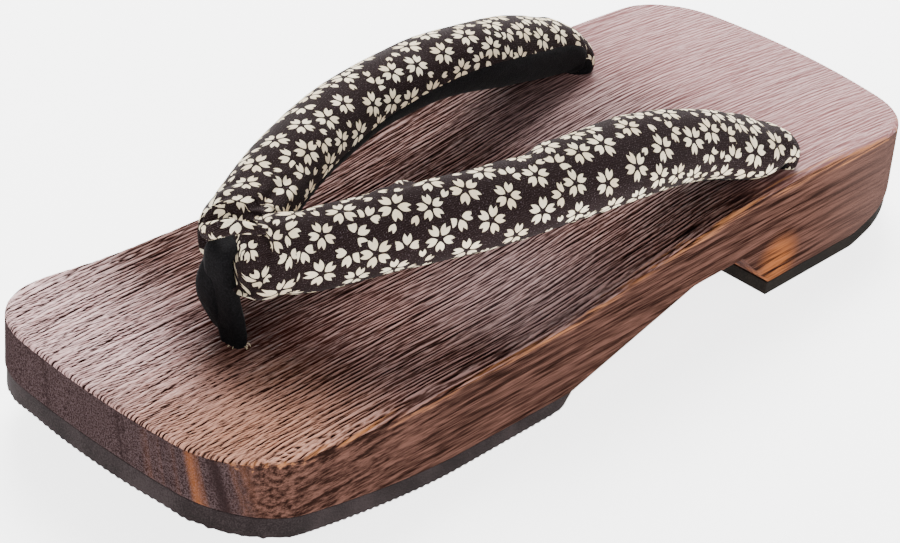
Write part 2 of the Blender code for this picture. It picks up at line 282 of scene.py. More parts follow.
# %% Sizes measured from the frame
DECK_LOW, DECK_HIGH = (Vector(corner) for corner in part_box("deck"))
FRONT_BACK = Vector(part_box("front_outsole")[0]).x
HEEL_FRONT = Vector(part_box("heel_outsole")[1]).x
LENGTH = DECK_HIGH.x - DECK_LOW.x
WIDTH = DECK_HIGH.y - DECK_LOW.y
TOE = LENGTH / 2
HEEL = -LENGTH / 2
TOE_HOLE_X = TOE - 43.8 * MM
DECK_HEIGHT = 34.5 * MM
END_SAGITTA = {"toe": 4.5 * MM, "heel": 7.3 * MM}
CORNER_RADIUS = {"toe": 23 * MM, "heel": 22 * MM}


def end_reach(end, y, inset):
    """How far the outline reaches towards one end at a distance y from the middle line."""
    sagitta = END_SAGITTA[end]
    corner = CORNER_RADIUS[end] - inset
    half = WIDTH / 2 - inset
    radius = (half * half + sagitta * sagitta) / (2 * sagitta)
    middle = LENGTH / 2 - inset - radius
    corner_y = half - corner
    corner_x = middle + math.sqrt((radius - corner) ** 2 - corner_y**2)
    meet_y = radius * corner_y / (radius - corner)
    y = abs(y)
    if y <= meet_y:
        return middle + math.sqrt(radius**2 - y * y)
    return corner_x + math.sqrt(max(corner**2 - (y - corner_y) ** 2, 0.0))


# %% Heights of the deck and the ground line
DECK_TOP = [
    # along the deck from the heel, share of DECK_HEIGHT
    (0.00, 0.860),
    (0.10, 0.942),
    (0.22, 1.000),
    (0.34, 0.977),
    (0.46, 0.878),
    (0.58, 0.785),
    (0.70, 0.771),
    (0.82, 0.810),
    (0.92, 0.896),
    (1.00, 0.968),
]
FRONT_RUBBER_REAR = 4.7 * MM
FRONT_RUBBER_TOE = 6.3 * MM
FRONT_CHAMFER = 3.6 * MM
HEEL_RUBBER = 4.1 * MM
BOND_GAP = 0.05 * MM
RUBBER_INSET = 0.4 * MM
ARCH_HEIGHT = 17.0 * MM
ARCH_FLAT = 19.3 * MM
HEEL_SLANT = 13.7 * MM
# height at the end, length from the end, power of the curve
TOE_SPRING = (13.4 * MM, 76.5 * MM, 1.63)
HEEL_BEVEL = (12.6 * MM, 31.5 * MM, 1.2)
CURVE_STEPS = 12


def smooth_rows(rows, steps):
    """Rows of a smooth curve through every given row, after Hermite."""
    table = np.array(rows, dtype=float)
    slopes = np.gradient(table, axis=0)
    out = [table[0]]
    for start in range(len(table) - 1):
        low, high = table[start], table[start + 1]
        for step in range(1, steps + 1):
            t = step / steps
            ease = t * t * (3 - 2 * t)
            leave = t * (1 - t) ** 2
            arrive = t * t * (t - 1)
            out.append(low + (high - low) * ease + slopes[start] * leave + slopes[start + 1] * arrive)
    return out


DECK_CURVE = np.array([(HEEL + a * LENGTH, h * DECK_HEIGHT) for a, h in smooth_rows(DECK_TOP, CURVE_STEPS)])


def deck_top(x):
    """Height of the walking surface at x."""
    return float(np.interp(x, DECK_CURVE[:, 0], DECK_CURVE[:, 1]))


def ground_height(x):
    """Height of the rubber's lower face at x."""
    height, length, power = TOE_SPRING
    lift = height * max((x - (TOE - length)) / length, 0.0) ** power
    height, length, power = HEEL_BEVEL
    return lift + height * max(((HEEL + length) - x) / length, 0.0) ** power


def front_rubber(x):
    """Thickness of the front outsole at x."""
    return FRONT_RUBBER_REAR + (FRONT_RUBBER_TOE - FRONT_RUBBER_REAR) * (x - FRONT_BACK) / (TOE - FRONT_BACK)


WAIST_ROWS = [
    # x, height of the wood over the waist
    (HEEL_FRONT, HEEL_RUBBER + BOND_GAP),
    (HEEL_FRONT + HEEL_SLANT, ARCH_HEIGHT),
    (HEEL_FRONT + HEEL_SLANT + ARCH_FLAT, ARCH_HEIGHT),
    (FRONT_BACK, FRONT_RUBBER_REAR + BOND_GAP),
]


def wood_bottom(x):
    """Height of the wood's underside at x."""
    if x >= FRONT_BACK:
        return ground_height(x) + front_rubber(x) + BOND_GAP
    if x <= HEEL_FRONT:
        return ground_height(x) + HEEL_RUBBER + BOND_GAP
    return float(np.interp(x, [row[0] for row in WAIST_ROWS], [row[1] for row in WAIST_ROWS]))


print("deck height at the toe hole", round(deck_top(TOE_HOLE_X), 4))

# %% A plate that follows the outline
MID_TOE = TOE - 46 * MM
MID_HEEL = HEEL + 46 * MM


def spaced(start, end, step):
    """Values from start to end no further apart than step."""
    count = max(int(math.ceil(abs(end - start) / step)), 1)
    return [start + (end - start) * index / count for index in range(count + 1)]


def cross_rows(step):
    """Shares of the half width from one side to the other, closer together round the corners."""
    corner = CORNER_RADIUS["heel"] / (WIDTH / 2)
    turns = [math.radians(angle) for angle in np.linspace(58, 90, 10)]
    outer = [1 - corner + corner * math.sin(turn) for turn in turns]
    inner = spaced(0.0, outer[0], step / (WIDTH / 2))
    half = inner[:-1] + outer
    return [-value for value in reversed(half[1:])] + half


def extruded(shape, edges):
    """The vertices that extruding open edges makes, and the new open edges between them."""
    made = bmesh.ops.extrude_edge_only(shape, edges=edges)["geom"]
    vertices = [item for item in made if isinstance(item, bmesh.types.BMVert)]
    return vertices, [item for item in made if isinstance(item, bmesh.types.BMEdge) and item.is_boundary]


def plate(name, stations, rows, levels, place_height, ends=("heel", "toe")):
    """A closed plate: a grid on the outline, its rim extruded through the levels, and a grid underneath.

    levels lists (inset, share of the way down, drop under the top face, sideways shift of a straight end).
    """
    shape = bmesh.new()
    bmesh.ops.create_grid(shape, x_segments=len(stations) - 1, y_segments=len(rows) - 1, size=1.0)
    along = shape.verts.layers.int.new("along")
    across = shape.verts.layers.int.new("across")
    for vertex in shape.verts:
        vertex[along] = round((vertex.co.x + 1) / 2 * (len(stations) - 1))
        vertex[across] = round((vertex.co.y + 1) / 2 * (len(rows) - 1))

    def settle(vertices, level):
        inset, share, drop, shift = level
        for vertex in vertices:
            nominal = stations[vertex[along]]
            y = rows[vertex[across]] * (WIDTH / 2 - inset)
            x = nominal
            if ends[1] == "toe" and nominal > MID_TOE:
                reach = end_reach("toe", y, inset)
                x = MID_TOE + (nominal - MID_TOE) / (TOE - MID_TOE) * (reach - MID_TOE)
            elif ends[0] == "heel" and nominal < MID_HEEL:
                reach = -end_reach("heel", y, inset)
                x = MID_HEEL + (nominal - MID_HEEL) / (HEEL - MID_HEEL) * (reach - MID_HEEL)
            elif vertex[along] == 0:
                x = nominal + shift + inset - levels[-1][0]
            elif vertex[along] == len(stations) - 1:
                x = nominal - inset + levels[-1][0]
            vertex.co = (x, y, place_height(x, y, share, drop))

    top_faces = shape.faces[:]
    settle(shape.verts, levels[0])
    underside = bmesh.ops.duplicate(shape, geom=shape.verts[:] + shape.edges[:] + top_faces)["geom"]
    under_verts = [item for item in underside if isinstance(item, bmesh.types.BMVert)]
    under_faces = [item for item in underside if isinstance(item, bmesh.types.BMFace)]
    settle(under_verts, levels[-1])
    bmesh.ops.reverse_faces(shape, faces=under_faces)
    under_set = set(under_verts)
    rim = [edge for edge in shape.edges if edge.is_boundary and edge.verts[0] not in under_set]
    for level in levels[1:]:
        made, rim = extruded(shape, rim)
        settle(made, level)
    bmesh.ops.remove_doubles(shape, verts=shape.verts, dist=1e-7)
    bmesh.ops.recalc_face_normals(shape, faces=shape.faces)
    open_edges = sum(not edge.is_manifold for edge in shape.edges)
    obj = finish_mesh(name, shape)
    print(name, len(obj.data.polygons), "faces,", open_edges, "open edges")
    return obj


def rounded_levels(top_round, bottom_round, side_steps, chamfer=0.0):
    """Levels from the top face over a rounded edge, down the side and round the lower edge."""
    levels = []
    for angle in (0, 22, 45, 67, 90):
        turn = math.radians(angle)
        levels.append((top_round * (1 - math.sin(turn)), 0.0, top_round * (1 - math.cos(turn)), 0.0))
    for step in range(1, side_steps):
        share = step / side_steps
        levels.append((0.0, share, 0.0, chamfer * share))
    for angle in (0, 45, 90):
        turn = math.radians(angle)
        levels.append((bottom_round * (1 - math.cos(turn)), 1.0, -bottom_round * (1 - math.sin(turn)), chamfer))
    return levels


# %% [markdown]
# ## The wooden deck
# The maker scorches light softwood and brushes it, so the soft summer wood is worn away and the hard grain
# stands up in fine ridges along the sandal. The ridges are modelled, because they catch the light and cast
# the fine dark lines that make this wood what it is. Noise drawn out along the length gives their height,
# and the same number is kept on the mesh, so that the colour follows the ridges exactly.

# %% Raised grain
RIDGE_PITCH = 1.15 * MM
RIDGE_HEIGHT = 0.42 * MM
RIDGE_LEVEL = 0.75
GRAIN_WANDER = 0.9 * MM
BEND_START = 0.05
BEND_RATE = 1.5


def bent(x, y):
    """Distance across the grain, which runs straight along the sandal and bends to its near side at the toe."""
    return y - BEND_RATE * max(x - BEND_START, 0.0) ** 2


def grain(x, y):
    """Height of the raised grain from 0 in a worn line to 1 on a ridge."""
    across = bent(x, y) + GRAIN_WANDER * noise.noise(Vector((x * 10, y * 26, 3.0)))
    lane = across / RIDGE_PITCH
    wave = math.cos(2 * math.pi * (lane + 0.55 * noise.noise(Vector((x * 60, lane * 0.7, 5.0)))))
    line_x, line_y = x * 125, across * 2100
    fine = noise.noise(Vector((line_x, line_y, 9.0))) - noise.noise(Vector((line_x, line_y + 0.55, 9.0)))
    drawn_out = noise.noise(Vector((x * 30, across * 1900, 17.0)))
    return min(max(0.56 + 0.26 * wave + 0.66 * fine + 0.30 * drawn_out, 0.0), 1.0)


def grain_depth(x):
    """How strongly the grain stands up along the deck: brushed most at the toe, rubbed smooth at the heel."""
    return float(np.interp(x, [HEEL, HEEL + 0.06, 0.0, TOE], [0.16, 0.36, 0.9, 1.0]))


def deck_height_at(x, y, share, drop):
    """Height of a point of the deck between its top and its underside."""
    top = deck_top(x)
    bottom = wood_bottom(x)
    if share == 0.0:
        relief = RIDGE_HEIGHT * grain_depth(x) * (grain(x, y) - RIDGE_LEVEL)
        return top + relief - drop
    return top + (bottom - top) * share - drop


DECK_ROW_STEP = 0.19 * MM
deck_stations = sorted(
    {
        *spaced(HEEL, HEEL_FRONT, 3.4 * MM),
        *spaced(HEEL_FRONT, HEEL_FRONT + HEEL_SLANT, 2.6 * MM),
        *spaced(HEEL_FRONT + HEEL_SLANT, FRONT_BACK, 3.4 * MM),
        *spaced(FRONT_BACK, TOE, 3.0 * MM),
    }
)
deck_levels = rounded_levels(1.1 * MM, 0.6 * MM, 5)
deck = plate("wooden_deck", deck_stations, cross_rows(DECK_ROW_STEP), deck_levels, deck_height_at)


def rim_distance(x, y):
    """Distance in the plan from a point to the rim of the deck."""
    to_side = WIDTH / 2 - abs(y)
    to_end = end_reach("toe", y, 0.0) - x if x > 0 else x + end_reach("heel", y, 0.0)
    return max(min(to_side, to_end), 0.0)


EDGE_REACH = 4.5 * MM


def store_numbers(obj):
    """Keep the grain, and the nearness to the upper rim, on every vertex for the material."""
    grain_values, edge_values = [], []
    for vertex in obj.data.vertices:
        x, y, z = vertex.co
        grain_values.append(grain(x, y))
        away = rim_distance(x, y) + abs(deck_top(x) - z)
        edge_values.append(max(1 - away / EDGE_REACH, 0.0))
    for name, values in (("grain", grain_values), ("rim", edge_values)):
        layer = obj.data.attributes.new(name, "FLOAT", "POINT")
        layer.data.foreach_set("value", values)


store_numbers(deck)
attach(deck, "root")
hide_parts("deck")

# %% [markdown]
# The scorched surface is nearly black in the worn lines and tan on the ridges. Streaks drawn out along X
# vary it. The near edges are worn to orange. The heel and the toe carry a pale painted sheen, the ridges
# of the near corner of the toe an orange-tan painted highlight, the wood before and behind the strap a
# grey painted sheen, and the wood under the strap's tails a painted shade. The side faces show long open
# streaks. The streaks are one group with five outputs, so that top, sides and ends all draw on the
# same noise.

# %% Streak group
streaks, streak_tree, streak_in, streak_out = new_group(
    "wood_streaks",
    [("Place", VECTOR)],
    [("Strokes", FLOAT), ("Fine", FLOAT), ("Long", FLOAT), ("Broad", FLOAT), ("Pores", FLOAT)],
)


def fill_streak_group(tree, place):
    """Noise drawn out along the bent grain at five scales."""
    spots = tree.parts(place)
    past = tree.math("MAXIMUM", tree.sub(spots["X"], BEND_START), 0.0)
    across = tree.sub(spots["Y"], tree.mul(past, past, BEND_RATE))
    line = tree.join(spots["X"], across, spots["Z"])
    tree.fill(streak_out["Strokes"], tree.noise(line, (210, 2600, 2600), 2.0, 0.6))
    tree.fill(streak_out["Fine"], tree.noise(line, (140, 3600, 3600), 3.0))
    tree.fill(streak_out["Long"], tree.noise(line, (34, 900, 900), 4.0, 0.6))
    tree.fill(streak_out["Broad"], tree.noise(line, (11, 75, 75), 3.0))
    tree.fill(streak_out["Pores"], tree.noise(place, (2400, 2400, 2400), 3.0, 0.7))


fill_streak_group(streak_tree, streak_in["Place"])

# %% Scorched wood
WOOD_VALLEY = (0.0046, 0.0023, 0.0021)
WOOD_BODY = (0.050, 0.0200, 0.0155)
WOOD_RIDGE = (0.29, 0.160, 0.142)
WOOD_WORN = (0.34, 0.110, 0.032)
WOOD_RUBBED = (0.42, 0.170, 0.070)
WOOD_RED = (0.026, 0.0045, 0.0018)
# an orange-tan painted highlight for the near corner of the toe
WOOD_PAINTED_HIGHLIGHT = (0.62, 0.285, 0.165)
# a grey painted sheen on the deck before and behind the strap
PAINTED_GREY_SHEEN_LOW = (0.040, 0.022, 0.022)
PAINTED_GREY_SHEEN_HIGH = (0.34, 0.225, 0.222)
# a pale painted sheen at the toe and the heel
TOE_PAINTED_SHEEN_LOW = (0.020, 0.0085, 0.0075)
TOE_PAINTED_SHEEN_HIGH = (0.76, 0.48, 0.47)
HEEL_PAINTED_SHEEN_LOW = (0.19, 0.085, 0.084)
HEEL_PAINTED_SHEEN_HIGH = (0.44, 0.222, 0.218)
SIDE_DARK = (0.0140, 0.0066, 0.0050)
SIDE_LIGHT = (0.116, 0.056, 0.042)
SIDE_PALE = (0.098, 0.058, 0.050)
END_DARK = (0.016, 0.0096, 0.0096)
END_LIGHT = (0.072, 0.048, 0.049)


# how much of the pale painted sheen is laid over the heel and the toe
PAINTED_SHEEN_SHARE = 0.85
ZONES = {
    # name: centre, distance within which it is full, distance at which it ends
    # painted shade: the wood under each strap tail is darkened
    "painted shade under a tail": ((-0.046, 0.036, 0.034), 0.006, 0.028),
    # painted sheen: a grey, softer colour before and behind the strap
    "painted sheen before the strap": ((0.018, 0.029, 0.027), 0.006, 0.034),
    "painted sheen behind the strap": ((-0.046, -0.010, 0.034), 0.008, 0.040),
    "toe hole": ((TOE_HOLE_X - 0.004, 0.006, 0.026), 0.004, 0.032),
    # painted highlight: the ridges of the near corner of the toe are lightened
    "painted highlight at the toe corner": ((TOE - 0.016, WIDTH / 2 - 0.012, 0.030), 0.004, 0.050),
    "heel block's corner": ((HEEL_FRONT - 0.002, WIDTH / 2, 0.010), 0.001, 0.011),
}


def zone(tree, place, name):
    """1 in the middle of a zone, 0 outside it."""
    centre, full, end = ZONES[name]
    gap = tree.node("ShaderNodeVectorMath", {0: place, 1: centre}, operation="DISTANCE").outputs["Value"]
    return tree.sub(1.0, tree.between(gap, full, end))


def polish_and_painted_sheen_zones(tree, place):
    """Where the deck is polished and painted pale as a sheen: the heel, and the toe but less on its near side.
    """
    spots = tree.parts(place)
    heel = tree.between(spots["X"], -0.040, -0.100)
    toe = tree.between(spots["X"], 0.074, 0.116)
    near_side = tree.between(spots["Y"], -0.024, 0.036)
    return heel, tree.mul(toe, tree.sub(1.0, tree.mul(near_side, 0.76)))


def top_colour(tree, place, marks, lifted):
    """Colour of the walking surface: dark worn lines, brown body, pale ridges, stains, and painted shade, sheen
    and highlight.
    """
    colour = tree.mix(tree.between(lifted, 0.40, 0.60), WOOD_VALLEY, WOOD_BODY)
    colour = tree.mix(tree.between(lifted, 0.58, 0.82), colour, WOOD_RIDGE)
    heel, toe = polish_and_painted_sheen_zones(tree, place)
    drift = tree.add(tree.mul(marks["Long"], 0.30), tree.mul(marks["Broad"], 0.25))
    soft = tree.add(tree.mul(lifted, 0.45), drift)
    # Painted sheen: the heel and the toe are painted pale, at the toe mostly on the ridges.
    heel_painted_sheen = tree.mix(tree.between(soft, 0.22, 0.82), HEEL_PAINTED_SHEEN_LOW, HEEL_PAINTED_SHEEN_HIGH)
    toe_painted_sheen = tree.mix(tree.between(lifted, 0.44, 0.72), TOE_PAINTED_SHEEN_LOW, TOE_PAINTED_SHEEN_HIGH)
    colour = tree.mix(tree.mul(heel, PAINTED_SHEEN_SHARE), colour, heel_painted_sheen)
    colour = tree.mix(tree.mul(toe, PAINTED_SHEEN_SHARE), colour, toe_painted_sheen)
    spots = tree.parts(place)
    folded = tree.join(spots["X"], tree.math("ABSOLUTE", spots["Y"]), spots["Z"])
    # Painted shade: the wood under each strap tail is darkened towards the worn-line colour.
    colour = tree.mix(tree.mul(zone(tree, folded, "painted shade under a tail"), 0.36), colour, WOOD_VALLEY)
    # Painted sheen: the deck before and behind the strap is painted grey and softer.
    grey_painted_sheen = tree.mix(tree.between(lifted, 0.40, 0.80), PAINTED_GREY_SHEEN_LOW, PAINTED_GREY_SHEEN_HIGH)
    for name in ("painted sheen before the strap", "painted sheen behind the strap"):
        colour = tree.mix(tree.mul(zone(tree, place, name), 0.55), colour, grey_painted_sheen)
    red = tree.mul(zone(tree, place, "toe hole"), tree.between(marks["Broad"], 0.25, 0.55), 0.80)
    colour = tree.mix(red, colour, WOOD_RED)
    # Painted highlight: the ridges of the near corner of the toe are painted orange-tan and light.
    corner_highlight = tree.mul(zone(tree, place, "painted highlight at the toe corner"), tree.between(lifted, 0.42, 0.80), 0.75)
    return tree.mix(corner_highlight, colour, WOOD_PAINTED_HIGHLIGHT)


def side_colour(tree, place, marks):
    """Colour of the long side faces: brown streaks drawn out along the grain, fainter towards the heel."""
    value = tree.add(tree.mul(marks["Long"], 0.75), tree.mul(marks["Fine"], 0.25))
    colour = tree.mix(tree.between(value, 0.38, 0.66), SIDE_DARK, SIDE_LIGHT)
    heel = tree.between(tree.parts(place)["X"], -0.070, -0.120)
    return tree.mix(tree.mul(heel, 0.74), colour, SIDE_PALE)


def end_colour(tree, place, marks):
    """Colour of the cut ends: speckled pores and a few dark rings that stand nearly upright."""
    spots = tree.parts(place)
    bowed = tree.add(spots["Y"], tree.mul(spots["Z"], 0.22))
    ring = tree.noise(tree.join(bowed), (150, 1, 1), 2.0)
    share = tree.mul(tree.between(marks["Pores"], 0.38, 0.66), tree.between(ring, 0.34, 0.46))
    colour = tree.mix(share, END_DARK, END_LIGHT)
    near = tree.between(spots["Y"], 0.012, 0.040)
    orange = tree.mul(near, 0.42, tree.between(ring, 0.46, 0.66))
    return tree.mix(orange, colour, WOOD_WORN)


def scorched_wood():
    """The deck's material."""
    material, tree = new_material("scorched_wood")
    place = tree.object_place()
    grain_value = tree.attribute("grain")
    rim = tree.attribute("rim")
    marks = tree.group(streaks, {"Place": place})
    facing = tree.parts(tree.node("ShaderNodeNewGeometry").outputs["Normal"])
    is_top = tree.between(facing["Z"], 0.30, 0.62)
    is_end = tree.between(tree.math("ABSOLUTE", facing["X"]), 0.45, 0.80)

    colour = tree.mix(is_end, side_colour(tree, place, marks), end_colour(tree, place, marks))
    lifted = tree.add(tree.mul(grain_value, 0.62), tree.mul(marks["Strokes"], 0.55))
    colour = tree.mix(is_top, colour, top_colour(tree, place, marks, lifted))
    ragged = tree.add(rim, tree.mul(tree.sub(marks["Long"], 0.5), 2.6))
    rubbed = tree.mul(tree.between(ragged, 0.70, 1.15), tree.between(rim, 0.1, 0.5))
    near_edge = tree.between(tree.parts(place)["Y"], 0.036, 0.044)
    rubbed = tree.mul(rubbed, near_edge, tree.between(marks["Broad"], 0.34, 0.58), 0.8)
    colour = tree.mix(rubbed, colour, WOOD_RUBBED)
    corner = tree.mul(zone(tree, place, "heel block's corner"), tree.between(marks["Long"], 0.36, 0.56), 0.8)
    tree.feed("Base Color", tree.mix(corner, colour, WOOD_WORN))

    tree.feed("Roughness", tree.add(0.36, tree.mul(marks["Fine"], 0.30)))
    tree.feed("Specular IOR Level", 0.0)
    heel, toe = polish_and_painted_sheen_zones(tree, place)
    polish = tree.add(tree.mul(heel, 0.30), tree.mul(toe, 0.60), 0.16)
    tree.feed("Coat Weight", tree.mul(polish, is_top, tree.between(lifted, 0.45, 0.80)))
    tree.feed("Coat Roughness", 0.42)
    height = tree.add(marks["Strokes"], tree.mul(marks["Fine"], 0.35))
    height = tree.mul(height, tree.sub(1.0, tree.mul(heel, 0.75)))
    fine = tree.bump(height, 0.8, 0.0005)
    tree.feed("Normal", tree.bump(marks["Long"], 0.6, 0.0008, fine))
    return material


deck.data.materials.append(scorched_wood())

# %% [markdown]
# ## The rubber
# Sheet rubber is glued under each block. The front sheet is ribbed across its underside, which shows as a
# fine serrated line along its lower edge, and the heel sheet is plain. Both are plates on the deck's own
# outline, set in a little. Their surface is matt, with small cells, scuffs and dust.

# %% Ribbed front outsole and plain heel outsole
RIB_PITCH = 2.2 * MM
RIB_DEPTH = 0.80 * MM


def front_height_at(x, y, share, drop):
    """Height of a point of the front outsole, with ribs cut up into its lower face."""
    bottom = ground_height(x)
    top = bottom + front_rubber(x)
    along = math.cos(2 * math.pi * (x - FRONT_BACK) / RIB_PITCH)
    across = math.cos(2 * math.pi * y / RIB_PITCH)
    rib = RIB_DEPTH * (0.5 - 0.25 * along - 0.25 * across) if share == 1.0 else 0.0
    return top + (bottom - top) * share - drop + rib


def heel_height_at(x, y, share, drop):
    """Height of a point of the heel outsole."""
    bottom = ground_height(x)
    top = bottom + HEEL_RUBBER
    return top + (bottom - top) * share - drop


def inset_levels(levels, inset):
    """Levels set further in from the outline."""
    return [(row[0] + inset, *row[1:]) for row in levels]


front_stations = [
    *spaced(FRONT_BACK, FRONT_BACK + 5.5 * MM, 6 * MM),
    *spaced(FRONT_BACK + 6.6 * MM, TOE, RIB_PITCH / 4),
]
front_sole = plate(
    "ribbed_front_sole",
    front_stations,
    cross_rows(RIB_PITCH / 4),
    inset_levels(rounded_levels(0.3 * MM, 0.3 * MM, 3, FRONT_CHAMFER), RUBBER_INSET),
    front_height_at,
    ends=("", "toe"),
)
heel_sole = plate(
    "heel_sole",
    spaced(HEEL, HEEL_FRONT, 2.0 * MM),
    cross_rows(2.5 * MM),
    inset_levels(rounded_levels(0.3 * MM, 0.4 * MM, 3), RUBBER_INSET),
    heel_height_at,
    ends=("heel", ""),
)
for sole, node, slot in (
    (front_sole, "front_outsole", "front_rubber"),
    (heel_sole, "heel_outsole", "heel_rubber"),
):
    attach(sole, "root")
    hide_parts(node)

# %% Sponge rubber


def sponge_rubber(name, dark, light):
    """Matt sponge rubber with small cells, scuffs and dust."""
    material, tree = new_material(name)
    place = tree.object_place()
    cells = tree.noise(place, (2600, 2600, 2600), 2.0)
    cloud = tree.noise(place, (90, 90, 90), 4.0)
    share = tree.add(tree.mul(cells, 0.5), tree.mul(cloud, 0.5))
    tree.feed("Base Color", tree.mix(tree.between(share, 0.36, 0.66), dark, light))
    tree.feed("Roughness", tree.add(0.62, tree.mul(cloud, 0.25)))
    tree.feed("Normal", tree.bump(cells, 0.5, 0.0002))
    tree.feed("Specular IOR Level", 0.03)
    return material


FRONT_RUBBER_COLOURS = ((0.0100, 0.0072, 0.0072), (0.030, 0.0225, 0.0228))
HEEL_RUBBER_COLOURS = ((0.0056, 0.0044, 0.0036), (0.0140, 0.0112, 0.0092))
front_sole.data.materials.append(sponge_rubber("front_sponge_rubber", *FRONT_RUBBER_COLOURS))
heel_sole.data.materials.append(sponge_rubber("heel_sponge_rubber", *HEEL_RUBBER_COLOURS))

# %% [markdown]
# ## The padded strap
# Each side of the strap is a tube of printed cotton over stuffing, backed with black velvet where it lies
# against the foot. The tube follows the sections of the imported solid, but its nose is domed, and its tail is
# wider and stands nearer to the toe, as in the photo. A circle is extruded from section to section, and
# every face keeps the distance along and around the strap as a UV map in metres, so that weave and print
# keep their real size while the strap swells and narrows.

# %% Sections of the strap
REAR_HOLE_X = HEEL + 56.0 * MM
REAR_HOLE_SPREAD = 35.2 * MM
STRAP_WIDTH = 22.0 * MM
STRAP_THICKNESS = 18.5 * MM
STRAP_RISE = 21.1 * MM
TAIL_BEND = 1.0 * MM
TAIL_WIDTH = 15.0 * MM
TAIL_THICKNESS = 9.2 * MM
TAIL_SLIP = {"left": 2.0 * MM, "right": 5.4 * MM}
TAIL_FLARE = 1.12
TAIL_FLARE_GROWTH = 0.10
TAIL_TAPER = 0.32
TAIL_END_SHIFT = (3.0 * MM, -0.4 * MM)
TAIL_VELVET = 92
TAIL_STEPS = 14
SEAT_GAP = 0.3 * MM
SECTION_STEP = 0.9 * MM
STRAP_ROWS = [
    # along, spread, rise, width, thickness, bank in degrees, half angle of the velvet in degrees
    (0.950, 0.220, 0.905, 0.92, 0.99, 53, 46),
    (0.913, 0.304, 0.90, 0.94, 1.00, 59, 48),
    (0.784, 0.553, 0.975, 0.95, 0.98, 65, 52),
    (0.622, 0.785, 1.00, 0.96, 0.96, 65, 58),
    (0.460, 0.885, 0.99, 1.00, 0.93, 62, 62),
    (0.330, 0.905, 0.89, 0.99, 0.91, 58, 66),
    (0.201, 0.940, 0.66, 0.85, 0.88, 58, 72),
    (0.092, 0.985, 0.37, 0.79, 0.70, 66, 88),
]
NOSE_ROWS = {
    # the near side ends blunt behind the toe post, and the far side laps over the top of it
    "left": [
        (1.008, 0.154, 0.950, 0.56, 0.56, 38, 40),
        (1.004, 0.156, 0.940, 0.80, 0.82, 38, 40),
        (0.995, 0.166, 0.910, 0.88, 0.93, 41, 42),
        (0.973, 0.190, 0.900, 0.90, 0.97, 46, 44),
    ],
    "right": [
        (0.988, 0.122, 0.980, 0.50, 0.50, 36, 40),
        (0.985, 0.124, 0.965, 0.74, 0.76, 36, 40),
        (0.977, 0.140, 0.935, 0.83, 0.88, 40, 42),
        (0.964, 0.166, 0.920, 0.86, 0.94, 46, 44),
    ],
}


class Section:
    """One oval section of a tube: its centre, direction, size, bank and place along the tube."""

    def __init__(self, centre, along, width, thickness, bank, velvet=0.0, power=1.0):
        self.centre = centre
        self.along = along.normalized()
        self.width = width
        self.thickness = thickness
        self.bank = bank
        self.velvet = velvet
        self.power = power
        side = (Vector((0, 1, 0)) - self.along * self.along.y).normalized()
        up = side.cross(self.along)
        self.face = side * math.cos(bank) + up * math.sin(bank)
        self.edge = up * math.cos(bank) - side * math.sin(bank)

    def point(self, angle, grow=0.0):
        """A point of the oval, grown outwards by a distance; a power under 1 squares the oval's corners."""
        ahead, beside = math.cos(angle), math.sin(angle)
        ahead = math.copysign(abs(ahead) ** self.power, ahead)
        beside = math.copysign(abs(beside) ** self.power, beside)
        out = self.face * ahead * (self.thickness / 2 + grow)
        return self.centre + out + self.edge * beside * (self.width / 2 + grow)


def headings(points):
    """The direction of a path at each of its points."""
    last = len(points) - 1
    return [points[min(index + 1, last)] - points[max(index - 1, 0)] for index in range(last + 1)]


CAP_STEPS = 8
CAP_DEPTH = 1.1 * MM
CAP_TURN = 84
NOSE_LENGTH = 3 * MM


def strap_sections(side):
    """Sections of one side of the strap, from the dome by the toe post to its blunt end on the deck."""
    reach = TOE_HOLE_X - REAR_HOLE_X
    seat = deck_top(REAR_HOLE_X) + SEAT_GAP
    turn_x = REAR_HOLE_X + TAIL_THICKNESS / 2 + TAIL_BEND + TAIL_SLIP[side]
    last = (
        (turn_x - REAR_HOLE_X) / reach,
        1.0,
        (seat + TAIL_BEND + TAIL_THICKNESS / 2 - DECK_HEIGHT) / STRAP_RISE,
        TAIL_WIDTH * TAIL_FLARE / STRAP_WIDTH,
        TAIL_THICKNESS / STRAP_THICKNESS,
        90,
        TAIL_VELVET,
    )
    rows = smooth_rows(NOSE_ROWS[side] + STRAP_ROWS + [last], 16)
    centres = [
        Vector((REAR_HOLE_X + row[0] * reach, row[1] * REAR_HOLE_SPREAD, DECK_HEIGHT + row[2] * STRAP_RISE))
        for row in rows
    ]
    sections = []
    for row, centre, heading in zip(rows, centres, headings(centres)):
        bank, velvet = math.radians(row[5]), math.radians(row[6])
        size = (row[3] * STRAP_WIDTH, row[4] * STRAP_THICKNESS)
        sections.append(Section(centre, heading, *size, bank, velvet))
    blunt = sections[0]
    for step in range(1, CAP_STEPS + 1):
        turn = math.radians(CAP_TURN) * step / CAP_STEPS
        centre = blunt.centre - blunt.along * CAP_DEPTH * math.sin(turn)
        size = (blunt.width * math.cos(turn), blunt.thickness * math.cos(turn))
        sections.insert(0, Section(centre, blunt.along, *size, blunt.bank, blunt.velvet))
    for step in range(1, TAIL_STEPS + 1):
        share = step / TAIL_STEPS
        turn = share * math.pi / 2
        width = TAIL_WIDTH * (TAIL_FLARE + TAIL_FLARE_GROWTH * share)
        thickness = TAIL_THICKNESS * (1 - TAIL_TAPER * share**2)
        outward = Vector((-math.sin(turn), 0, math.cos(turn)))
        centre = Vector((turn_x, REAR_HOLE_SPREAD, seat)) + outward * (TAIL_BEND + TAIL_THICKNESS / 2)
        centre += Vector((TAIL_END_SHIFT[0] * share**2, TAIL_END_SHIFT[1] * share, 0.0))
        heading = Vector((-math.cos(turn), 0, -math.sin(turn)))
        sections.append(Section(centre, heading, width, thickness, math.pi / 2, math.radians(TAIL_VELVET)))
    return sections


